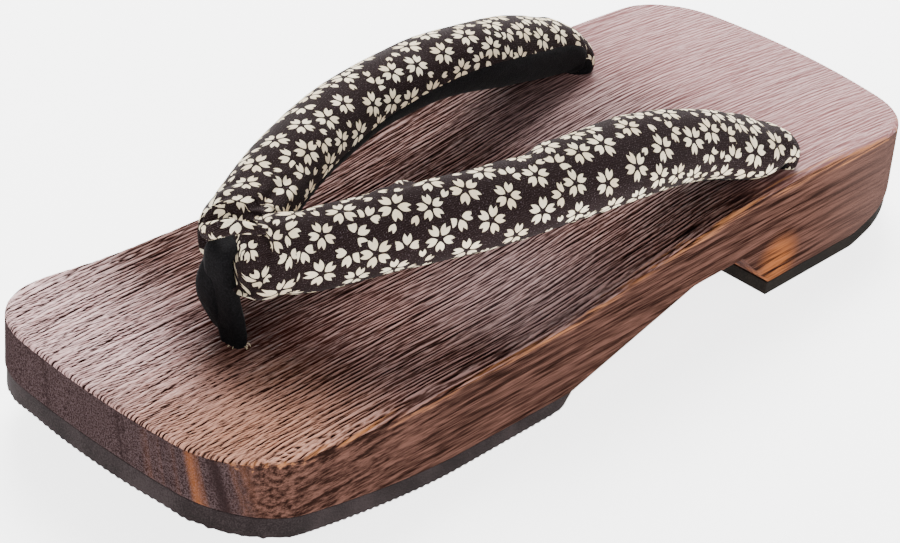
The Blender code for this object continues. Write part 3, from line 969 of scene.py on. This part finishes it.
def evened(sections, step):
    """Sections picked and blended so that they lie a step apart along the surface; the dome counts below 0."""
    centres = np.array([section.centre for section in sections])
    swelling = np.diff([section.width / 2 for section in sections])
    moves = np.hypot(np.linalg.norm(np.diff(centres, axis=0), axis=1), swelling)
    travelled = np.concatenate([[0.0], np.cumsum(moves)])
    dome = travelled[CAP_STEPS] + NOSE_LENGTH
    values = np.array([[*s.centre, *s.along, s.width, s.thickness, s.bank, s.velvet] for s in sections])
    count = int(travelled[-1] / step)
    out = []
    for place in np.linspace(0.0, travelled[-1], count):
        row = [float(np.interp(place, travelled, values[:, column])) for column in range(values.shape[1])]
        out.append((place - dome, Section(Vector(row[:3]), Vector(row[3:6]), *row[6:10])))
    return out


left_sections = evened(strap_sections("left"), SECTION_STEP)
right_sections = evened(strap_sections("right"), SECTION_STEP)
print("one side of the strap is", round(left_sections[-1][0], 4), "m long in", len(left_sections), "sections")

# %% [markdown]
# Stuffed cloth is never even. It swells where the filling has bunched up and folds where it is pulled, at
# the join and where it turns down to the deck. Each crease is a small bump or dip set from the photo and
# added to noise while the tube is swept. Where cloth would sink into the wood, it is pressed flat.

# %% Creases
CREASES = [
    # side, along in mm, around in degrees, length mm, width mm, slant degrees, height mm
    ("left", 128, 160, 62, 9.0, 0, 2.0),
    ("right", 128, 160, 62, 9.0, 0, 2.0),
    ("left", 157, -75, 26, 8.0, 0, 2.4),
    ("right", 159, -75, 26, 8.0, 0, 2.0),
    ("right", 153, -128, 36, 9.0, 0, 2.4),
    ("left", 163, 115, 26, 8.0, 0, 1.6),
    ("right", 163, 115, 26, 8.0, 0, 2.0),
    ("left", 43, 68, 9, 1.1, 30, 1.3),
    ("left", 46, 62, 10, 1.5, 32, -0.8),
    ("left", 38, 76, 9, 2.2, 60, 0.7),
    ("left", 5, 45, 12, 1.0, 84, -0.8),
    ("left", 9, 10, 13, 1.3, 78, -0.6),
    ("left", 7, -35, 12, 1.4, 70, -0.6),
    ("left", 14, 60, 14, 1.4, 40, -0.6),
    ("left", 20, 30, 16, 1.8, 25, -0.35),
    ("left", 15, -70, 12, 2.4, 20, -0.3),
    ("left", 78, 70, 14, 4.5, 75, -1.0),
    ("left", 86, 76, 10, 3.0, 80, 0.5),
    ("left", 106, -40, 16, 3.0, 75, -0.4),
    ("left", 150, 30, 12, 3.0, 80, -0.5),
    ("left", 162, 20, 10, 2.0, 85, -0.5),
    ("left", 171, 0, 10, 2.0, 85, -0.6),
    ("right", 10, 70, 26, 1.3, 4, -1.5),
    ("right", 10, 92, 26, 2.2, 2, 1.0),
    ("right", 6, 10, 14, 1.4, 80, -0.6),
    ("right", 12, -20, 14, 1.8, 70, -0.7),
    ("right", 22, 40, 14, 2.2, 35, -0.5),
    ("right", 48, 60, 14, 3.0, 75, -0.4),
    ("right", 92, 50, 14, 3.5, 75, -0.4),
    ("right", 155, 20, 12, 3.0, 80, -0.5),
]


def crease_height(side, place, angle, perimeter):
    """How far the cloth stands out or dips at a place along and an angle around the strap, in metres."""
    total = 0.0
    for name, along, around, length, width, slant, height in CREASES:
        if name != side:
            continue
        ahead = place - along * MM
        turned = (angle - math.radians(around) + math.pi) % (2 * math.pi) - math.pi
        beside = turned / (2 * math.pi) * perimeter
        tilt = math.radians(slant)
        run = ahead * math.cos(tilt) + beside * math.sin(tilt)
        off = -ahead * math.sin(tilt) + beside * math.cos(tilt)
        total += height * MM * math.exp(-((2 * run / (length * MM)) ** 2) - (off / (width * MM)) ** 2)
    return total


def oval_perimeter(width, thickness):
    """Length round an oval, by Ramanujan's rule."""
    a, b = width / 2, thickness / 2
    return math.pi * (3 * (a + b) - math.sqrt((3 * a + b) * (a + 3 * b)))


# %% A swept tube of cloth


def sweep(name, sections, sides, displace, mirrored=False):
    """A closed tube extruded through the sections, with its along and around distances kept in UV map cloth."""
    shape = bmesh.new()
    bmesh.ops.create_circle(shape, segments=sides, radius=1.0)
    slot = shape.verts.layers.int.new("slot")
    row = shape.verts.layers.int.new("row")
    for vertex in shape.verts:
        angle = math.atan2(vertex.co.y, vertex.co.x) % (2 * math.pi)
        vertex[slot] = round(angle / (2 * math.pi) * sides) % sides
    ring = shape.edges[:]

    def settle(vertices, index):
        place, section = sections[index]
        perimeter = oval_perimeter(section.width, section.thickness)
        for vertex in vertices:
            angle = math.pi + 2 * math.pi * vertex[slot] / sides
            vertex[row] = index
            vertex.co = section.point(angle, displace(place, angle, perimeter))

    settle(shape.verts, 0)
    start = ring
    for index in range(1, len(sections)):
        made, ring = extruded(shape, ring)
        settle(made, index)
    uv = shape.loops.layers.uv.new("cloth")
    for face in shape.faces:
        wraps = max(v[slot] for v in face.verts) - min(v[slot] for v in face.verts) > 1
        for loop in face.loops:
            place, section = sections[loop.vert[row]]
            turn = loop.vert[slot]
            if wraps and turn == 0:
                turn = sides
            around = (turn / sides - 0.5) * oval_perimeter(section.width, section.thickness)
            loop[uv].uv = (place, around)
    for edges in (start, ring):
        bmesh.ops.contextual_create(shape, geom=edges)
    if mirrored:
        bmesh.ops.scale(shape, verts=shape.verts, vec=(1, -1, 1))
    bmesh.ops.recalc_face_normals(shape, faces=shape.faces)
    obj = finish_mesh(name, shape)
    obj.data.shade_smooth()
    print(name, len(obj.data.polygons), "faces")
    return obj


LUMP_HEIGHT = 0.45 * MM
PUCKER_HEIGHT = 0.45 * MM
PUCKER_REACH = 16 * MM
FINE_HEIGHT = 0.07 * MM
COVER_INSET = 0.25 * MM
COVER_SIDES = 76
COVER_GAP = 0.60 * MM
NOISE_START = {"left": 0.0, "right": 40.0}


def cover_relief(side):
    """The swelling and creases of one cover."""

    def displace(place, angle, perimeter):
        start = NOISE_START[side]
        where = Vector((place * 42, math.cos(angle) * 0.9 + start, math.sin(angle) * 0.9))
        lumps = LUMP_HEIGHT * noise.noise(where)
        pucker = Vector((place * 210, angle * 2.2 + start, 3.0))
        near_join = math.exp(-((place / PUCKER_REACH) ** 2))
        small = PUCKER_HEIGHT * near_join * noise.noise(pucker) + FINE_HEIGHT * noise.noise(pucker * 1.7)
        return lumps + small + crease_height(side, place, angle, perimeter) - COVER_INSET

    return displace


left_cover = sweep("left_strap_cover", left_sections, COVER_SIDES, cover_relief("left"))
right_cover = sweep("right_strap_cover", right_sections, COVER_SIDES, cover_relief("right"), mirrored=True)


def rest_on_deck(obj, gap):
    """Press cloth flat where it would sink into the wood under it."""
    pressed = 0
    for vertex in obj.data.vertices:
        lowest = deck_top(vertex.co.x) + gap
        if vertex.co.z < lowest:
            vertex.co.z = lowest
            pressed += 1
    print(obj.name, "is pressed flat at", pressed, "points")


for cover in (left_cover, right_cover):
    rest_on_deck(cover, COVER_GAP)

# %% [markdown]
# ### The blossom print
# The cotton is printed with small cherry blossoms, an old all-over pattern for such straps. Blossoms,
# loose sprigs and single petals are strewn by trial: a candidate stays if it keeps clear of those already
# there. Each face then takes the motif nearest to it and stores its own place in that motif as a UV map,
# like a small stamp. The material draws the petals from that, so their edges stay crisp at any zoom.

# %% Strewing the motifs
MOTIF_ROWS = [
    # kind, radius in mm, gap in mm, tries
    (0, 3.95, 0.40, 3400),
    (1, 2.45, 0.15, 2200),
    (2, 1.50, 0.20, 1800),
]
KIND_STEP = 4.0
UV_LIMIT = 1.9
MOTIF_PACKING = 0.93
PRINT_START = -9 * MM
PRINT_OVERRUN = 4 * MM
PRINT_HALF_WIDTH = 36 * MM


def strew_motifs(length, half_width, seed):
    """Centres, radii, turns and kinds of the motifs on a strip of cloth."""
    draw = random.Random(seed)
    motifs = []
    for kind, radius, gap, tries in MOTIF_ROWS:
        for _ in range(tries):
            size = radius * MM * draw.uniform(0.90, 1.06)
            along = draw.uniform(PRINT_START, length + PRINT_OVERRUN)
            around = draw.uniform(-half_width, half_width)
            turn = draw.uniform(0, 2 * math.pi)
            reach = size * MOTIF_PACKING
            if all(
                (along - m[0]) ** 2 + (around - m[1]) ** 2 > (reach + m[2] * MOTIF_PACKING + gap * MM) ** 2
                for m in motifs
            ):
                motifs.append((along, around, size, turn, kind))
    return np.array(motifs)


def stamp_print(obj, seed):
    """Give every face its place in the nearest motif as UV map print."""
    mesh = obj.data
    cloth = np.empty(len(mesh.loops) * 2)
    mesh.uv_layers["cloth"].data.foreach_get("uv", cloth)
    cloth = cloth.reshape(-1, 2)
    motifs = strew_motifs(cloth[:, 0].max(), PRINT_HALF_WIDTH, seed)
    layer = mesh.uv_layers.new(name="print")
    stamped = np.zeros_like(cloth)
    for face in mesh.polygons:
        loops = slice(face.loop_start, face.loop_start + face.loop_total)
        middle = cloth[loops].mean(axis=0)
        reach = np.hypot(motifs[:, 0] - middle[0], motifs[:, 1] - middle[1]) / motifs[:, 2]
        along, around, size, turn, kind = motifs[int(np.argmin(reach))]
        offset = (cloth[loops] - (along, around)) / size
        spin = np.array([[math.cos(turn), math.sin(turn)], [-math.sin(turn), math.cos(turn)]])
        local = np.clip(offset @ spin.T, -UV_LIMIT, UV_LIMIT)
        stamped[loops] = local + (kind * KIND_STEP, 0.0)
    layer.data.foreach_set("uv", stamped.ravel())
    return len(motifs)


for cover, seed in ((left_cover, 11), (right_cover, 23)):
    print(cover.name, "carries", stamp_print(cover, seed), "motifs")

# %% [markdown]
# A petal is narrow at its foot, swells and ends in two pointed tips. Five of them, a fifth of a turn
# apart, make a blossom. A sprig shows three petals and a loose one shows a single petal, shifted and
# enlarged so that it fills its stamp. The petal is a group of its own inside the group of the blossom.

# %% Petals drawn in nodes
PETAL_FOOT = 0.20
PETAL_FULLNESS = 0.80
PETAL_TURN = 2.55
PETAL_HALF_WIDTH = 0.300
NOTCH_DEPTH = 0.72
NOTCH_SLOPE = 1.45
PETAL_BLUR = 0.03
PART_SHIFT, SINGLE_SHIFT = 0.62, 1.25
PART_SHRINK, SINGLE_SHRINK = 0.36, 0.52
FIFTH = 2 * math.pi / 5
petals, petal_tree, petal_in, petal_out = new_group(
    "petal_shape", [("Along", FLOAT), ("Across", FLOAT)], [("Inside", FLOAT)]
)


def draw_petal(tree, along, across):
    """How far a point lies inside a petal that runs along the first axis and ends in two pointed tips."""
    side = tree.math("ABSOLUTE", across)
    share = tree.math("DIVIDE", tree.sub(along, PETAL_FOOT), 1 - PETAL_FOOT, clamp=True)
    swell = tree.math("SINE", tree.mul(tree.math("POWER", share, PETAL_FULLNESS), PETAL_TURN))
    in_width = tree.sub(tree.mul(swell, PETAL_HALF_WIDTH), side)
    notch = tree.sub(tree.add(NOTCH_DEPTH, tree.mul(side, NOTCH_SLOPE)), along)
    return tree.between(tree.math("MINIMUM", in_width, notch), 0.0, PETAL_BLUR)


petal_tree.fill(petal_out["Inside"], draw_petal(petal_tree, petal_in["Along"], petal_in["Across"]))

blossom, blossom_tree, blossom_in, blossom_out = new_group(
    "blossom_print", [("Stamp", VECTOR)], [("Petals", FLOAT)]
)


def draw_blossoms(tree, stamp):
    """The mask of a whole blossom, a part of one or a single petal, by the stamp's own kind."""
    stamp_parts = tree.parts(stamp)
    kind = tree.math("FLOOR", tree.math("DIVIDE", tree.add(stamp_parts["X"], KIND_STEP / 2), KIND_STEP))
    is_part = tree.math("COMPARE", kind, 1.0)
    is_single = tree.math("COMPARE", kind, 2.0)
    shift = tree.add(tree.mul(is_part, PART_SHIFT), tree.mul(is_single, SINGLE_SHIFT))
    shrink = tree.sub(1.0, tree.add(tree.mul(is_part, PART_SHRINK), tree.mul(is_single, SINGLE_SHRINK)))
    x = tree.sub(stamp_parts["X"], tree.mul(kind, KIND_STEP))
    x = tree.mul(tree.add(x, shift), shrink)
    y = tree.mul(stamp_parts["Y"], shrink)
    radius = tree.math("SQRT", tree.add(tree.mul(x, x), tree.mul(y, y)))
    angle = tree.math("ARCTAN2", y, x)
    number = tree.math("ROUND", tree.math("DIVIDE", angle, FIFTH))
    off = tree.sub(angle, tree.mul(number, FIFTH))
    along = tree.mul(radius, tree.math("COSINE", off))
    across = tree.mul(radius, tree.math("SINE", off))
    petal = tree.group(petals, {"Along": along, "Across": across})["Inside"]
    allowed = tree.sub(2.5, tree.add(is_part, tree.mul(is_single, 2.0)))
    shown = tree.math("LESS_THAN", tree.math("ABSOLUTE", number), allowed)
    return tree.mul(petal, shown)


blossom_tree.fill(blossom_out["Petals"], draw_blossoms(blossom_tree, blossom_in["Stamp"]))

# %% [markdown]
# The cotton itself is a twill, with fine cords that cross the strip at a slant. Its colour is dark, with
# fluff and pale specks of painted sheen where loose fibres catch the light, and the cream print is worn
# through where the fluff is low.

# %% Weave group and printed cotton
weave, weave_tree, weave_in, weave_out = new_group(
    "twill_weave", [("Cloth", VECTOR), ("Pitch", FLOAT)], [("Height", FLOAT)]
)


def draw_twill(tree, cloth, pitch):
    """A twill: fine cords that cross the cloth at a slant, broken by the threads they pass over."""
    cloth_parts = tree.parts(cloth)
    slant = tree.add(cloth_parts["X"], tree.mul(cloth_parts["Y"], 1.3))
    cord = tree.math("SINE", tree.math("DIVIDE", tree.mul(slant, 2 * math.pi), pitch))
    thread = tree.math("SINE", tree.math("DIVIDE", tree.mul(cloth_parts["Y"], 2 * math.pi), pitch))
    return tree.add(tree.mul(cord, 0.35), tree.mul(thread, 0.15), 0.5)


weave_tree.fill(weave_out["Height"], draw_twill(weave_tree, weave_in["Cloth"], weave_in["Pitch"]))

COTTON_DARK = (0.0040, 0.0021, 0.0017)
COTTON_LIGHT = (0.0300, 0.0195, 0.0195)
# pale specks of painted sheen on loose fibres
COTTON_FIBRE_SHEEN = (0.150, 0.115, 0.130)
PETAL_CREAM = (1.0, 0.90, 0.68)
PETAL_SHADE = (0.80, 0.66, 0.45)
TWILL_PITCH = 0.55 * MM


def printed_cotton():
    """Dark cotton twill with cream blossoms."""
    material, tree = new_material("printed_cotton")
    cloth = tree.uv("cloth")
    height = tree.group(weave, {"Cloth": cloth, "Pitch": TWILL_PITCH})["Height"]
    fluff = tree.noise(cloth, (2600, 2600, 1), 4.0, 0.75)
    patch = tree.noise(cloth, (120, 120, 1), 3.0)
    ground_share = tree.add(tree.mul(height, 0.5), tree.mul(fluff, 0.5))
    ground = tree.mix(tree.between(ground_share, 0.36, 0.68), COTTON_DARK, COTTON_LIGHT)
    # Painted sheen: pale specks where loose fibres catch the light.
    fibre_sheen_noise = tree.noise(cloth, (3100, 1900, 1), 2.0, 0.6)
    ground = tree.mix(tree.mul(tree.between(fibre_sheen_noise, 0.58, 0.72), 0.55), ground, COTTON_FIBRE_SHEEN)
    mask = tree.group(blossom, {"Stamp": tree.uv("print")})["Petals"]
    worn = tree.mul(mask, tree.between(fluff, 0.26, 0.42))
    cream = tree.mix(tree.between(patch, 0.35, 0.65), PETAL_SHADE, PETAL_CREAM)
    cream = tree.mix(tree.mul(tree.between(ground_share, 0.42, 0.66), 0.75), cream, PETAL_SHADE)
    tree.feed("Base Color", tree.mix(worn, ground, cream))
    tree.feed("Roughness", tree.add(0.74, tree.mul(fluff, 0.2)))
    tree.feed("Normal", tree.bump(ground_share, 0.45, 0.0002))
    tree.feed("Sheen Weight", 0.03)
    tree.feed("Sheen Roughness", 0.4)
    tree.feed("Specular IOR Level", 0.02)
    return material


cotton = printed_cotton()
for cover in (left_cover, right_cover):
    cover.data.materials.append(cotton)
    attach(cover, "root")
    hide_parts("strap")

# %% [markdown]
# ### Velvet backing and toe post
# The velvet is a strip laid on the inner side of each tube, with its two borders turned in under the
# seam. The toe post is a folded band of the same velvet: its front ply is seen from the toe, and the back
# ply behind it holds the join of the strap. Both are swept like the strap, through squarer sections.

# %% Velvet lining
LINING_START = 3.6 * MM
LINING_LIFT = 0.45 * MM
LINING_SINK = 0.35 * MM
LINING_TUCK = 0.9 * MM
LINING_TUCK_ROWS = 6
LINING_OUTER = math.radians(62)
LINING_COLUMNS = 26
LINING_WALL = 0.4 * MM
LINING_GAP = 0.48 * MM


def lining_strip(name, sections, cover_displace, mirrored):
    """A strip of velvet over the inner side of one tube, thickest in its middle and sunk at its borders."""
    picked = [row for row in sections if row[0] > LINING_START][:-1]
    shape = bmesh.new()
    bmesh.ops.create_grid(shape, x_segments=len(picked) - 1, y_segments=LINING_COLUMNS, size=1.0)
    for vertex in shape.verts:
        index = round((vertex.co.x + 1) / 2 * (len(picked) - 1))
        share = vertex.co.y
        place, section = picked[index]
        inner, outer = section.velvet, min(section.velvet, LINING_OUTER)
        angle = math.pi + (share * outer if share > 0 else share * inner)
        perimeter = oval_perimeter(section.width, section.thickness)
        lift = LINING_LIFT * (1 - abs(share) ** 10) - LINING_SINK * abs(share) ** 10
        lift -= LINING_TUCK * max(1 - index / LINING_TUCK_ROWS, 0.0)
        vertex.co = section.point(angle, cover_displace(place, angle, perimeter) + lift)
    if mirrored:
        bmesh.ops.scale(shape, verts=shape.verts, vec=(1, -1, 1))
    obj = finish_mesh(name, shape)
    wall = obj.modifiers.new("wall", "SOLIDIFY")
    wall.thickness = LINING_WALL
    wall.offset = 1.0 if mirrored else -1.0
    obj.data.shade_smooth()
    print(name, len(obj.data.polygons), "faces")
    return obj


left_lining = lining_strip("left_velvet_lining", left_sections, cover_relief("left"), False)
right_lining = lining_strip("right_velvet_lining", right_sections, cover_relief("right"), True)
for lining in (left_lining, right_lining):
    rest_on_deck(lining, LINING_GAP)

# %% Toe post
POST_ROWS = {
    # millimetres: forward of the hole, to the left, over the deck, width, thickness
    "front": [
        (-0.2, 0.8, -8.0, 5.8, 3.4),
        (0.0, 1.0, 0.6, 7.3, 4.2),
        (1.4, 0.7, 7.2, 8.6, 4.6),
        (3.2, 0.2, 15.1, 8.8, 4.7),
        (4.4, -0.4, 21.4, 8.3, 4.5),
        (4.5, -0.9, 24.9, 8.3, 3.8),
        (3.2, -1.2, 26.7, 8.3, 3.2),
        (0.6, -1.5, 27.3, 8.0, 2.8),
        (-2.8, -1.7, 26.8, 7.2, 2.6),
        (-8.0, -1.9, 25.4, 6.0, 2.4),
    ],
    "back": [
        (-2.0, -1.0, -8.0, 4.0, 2.4),
        (-2.0, -1.5, 0.0, 4.6, 2.8),
        (1.6, -2.8, 5.8, 5.4, 3.2),
        (4.8, -3.2, 13.2, 6.0, 3.6),
        (5.2, -3.2, 17.6, 6.2, 3.8),
        (3.8, -3.0, 22.2, 6.0, 3.6),
        (1.5, -2.6, 26.0, 5.6, 3.4),
        (-4.0, -2.0, 28.0, 5.0, 3.0),
    ],
}


def band_sections(rows, power):
    """Sections of a band through rows given in millimetres from the toe hole."""
    base = Vector((TOE_HOLE_X, 0.0, deck_top(TOE_HOLE_X)))
    rows = smooth_rows(rows, 10)
    centres = [base + Vector(row[:3]) * MM for row in rows]
    sections = []
    travelled = 0.0
    for row, centre, before, heading in zip(rows, centres, centres[:1] + centres, headings(centres)):
        travelled += (centre - before).length
        section = Section(centre, heading, row[3] * MM, row[4] * MM, math.pi / 2, power=power)
        sections.append((travelled, section))
    return sections


def post_relief(place, angle, perimeter):
    """Soft folds of the post's velvet."""
    where = Vector((place * 160, math.cos(angle) * 1.4, math.sin(angle) * 1.4))
    return 0.25 * MM * noise.noise(where) + 0.12 * MM * noise.noise(where * 3.1)


POST_POWER = 0.74
toe_post = sweep("velvet_toe_post", band_sections(POST_ROWS["front"], POST_POWER), 40, post_relief)
back_ply = sweep("velvet_toe_post_back_ply", band_sections(POST_ROWS["back"], POST_POWER), 32, post_relief)
for ply in (toe_post, back_ply):
    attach(ply, "root")
    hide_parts("toe_post")

# %% [markdown]
# ### The lap
# At the join the far strap's cloth is drawn over the top of the toe post and sewn down, and a small roll
# of its edge shows in front. It is swept as a band of its own, through rows counted from the toe hole like
# those of the post, and it carries the same print.

# %% The far strap's edge folded over the post
LAP_POWER = 0.9
LAP_ROWS = [
    # millimetres, as for the toe post
    (1.0, -8.0, 26.6, 3.0, 2.4),
    (3.9, -5.2, 29.6, 4.2, 3.0),
    (4.6, -1.6, 32.4, 4.4, 3.2),
    (3.6, 1.5, 34.2, 4.2, 3.0),
    (1.2, 4.6, 34.6, 3.6, 2.6),
    (-3.0, 7.0, 33.2, 3.0, 2.4),
]
lap = sweep("right_strap_lap", band_sections(LAP_ROWS, LAP_POWER), 36, post_relief)
print(lap.name, "carries", stamp_print(lap, 37), "motifs")
lap.data.materials.append(cotton)
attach(lap, "root")
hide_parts("strap")

# %% [markdown]
# ### Frayed threads
# The cut ends of the post's backing cloth fray where they go into the deck. Six short pale threads curl
# out from under its foot, most of them on the near side, each thinner than a quarter of a millimetre.

# %% Frayed threads
FRAY_TURNS = (100, 112, 122, 96, 8, 34)
FRAY_SEED = 70
FRAY_STEPS = 12
FRAY_THICKNESS = 0.22 * MM


def fray(number):
    """One pale thread that curls out from under the foot of the toe post."""
    draw = random.Random(FRAY_SEED + number)
    turn = math.radians(FRAY_TURNS[number] + draw.uniform(-6, 6))
    out = Vector((math.cos(turn), math.sin(turn), 0.0))
    beside = Vector((-out.y, out.x, 0.0)) * draw.uniform(-1, 1)
    foot = Vector((TOE_HOLE_X, 0.9 * MM, deck_top(TOE_HOLE_X))) + Vector((out.x * 2.0, out.y * 3.4, 0.0)) * MM
    length = draw.uniform(1.3, 2.6) * MM
    points = []
    for step in range(FRAY_STEPS + 1):
        share = step / FRAY_STEPS
        rise = Vector((0, 0, 0.30 * math.sin(share * 3.0)))
        curl = beside * math.sin(share * 2.6) * 0.5 + out * share * 0.55 + rise
        points.append(foot + curl * length)
    sections = [
        (index / FRAY_STEPS * length, Section(point, heading, FRAY_THICKNESS, FRAY_THICKNESS, 0.0))
        for index, (point, heading) in enumerate(zip(points, headings(points)))
    ]
    return sweep(f"post_fray_{number}", sections, 6, lambda place, angle, perimeter: 0.0)


frays = [fray(number) for number in range(len(FRAY_TURNS))]


def pale_thread():
    """Undyed cotton thread with a slightly mottled twist."""
    material, tree = new_material("pale_thread")
    mottle = tree.noise(tree.object_place(), (1500, 1500, 1500), 2.0)
    tree.feed("Base Color", tree.mix(mottle, (0.36, 0.26, 0.15), (0.72, 0.60, 0.42)))
    tree.feed("Normal", tree.bump(mottle, 0.4, 0.0001))
    tree.feed("Roughness", 0.85)
    return material


thread = pale_thread()
for piece in frays:
    piece.data.materials.append(thread)
    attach(piece, "root")

# %% [markdown]
# ### Black velvet
# Velvet swallows nearly all light: its base colour is close to black, its nap gives a short uneven relief
# and only a trace of sheen. One material serves the linings and both plies of the toe post.

# %% Velvet for linings and post
VELVET_COLOURS = ((0.0012, 0.0012, 0.0016), (0.0085, 0.0078, 0.0090))


def black_velvet():
    """Black velvet: nearly no base colour, a soft sheen, and a short uneven nap."""
    material, tree = new_material("black_velvet")
    place = tree.object_place()
    nap = tree.noise(place, (2400, 2400, 2400), 4.0)
    brushed = tree.noise(place, (160, 160, 160), 3.0)
    tree.feed("Base Color", tree.mix(tree.between(nap, 0.35, 0.75), *VELVET_COLOURS))
    tree.feed("Roughness", tree.add(0.80, tree.mul(brushed, 0.15)))
    tree.feed("Normal", tree.bump(nap, 0.6, 0.0003))
    tree.feed("Sheen Weight", 0.03)
    tree.feed("Sheen Roughness", 0.3)
    tree.feed("Specular IOR Level", 0.12)
    return material


velvet = black_velvet()
for ply in (toe_post, back_ply):
    ply.data.materials.append(velvet)
for lining in (left_lining, right_lining):
    lining.data.materials.append(velvet)
    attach(lining, "root")
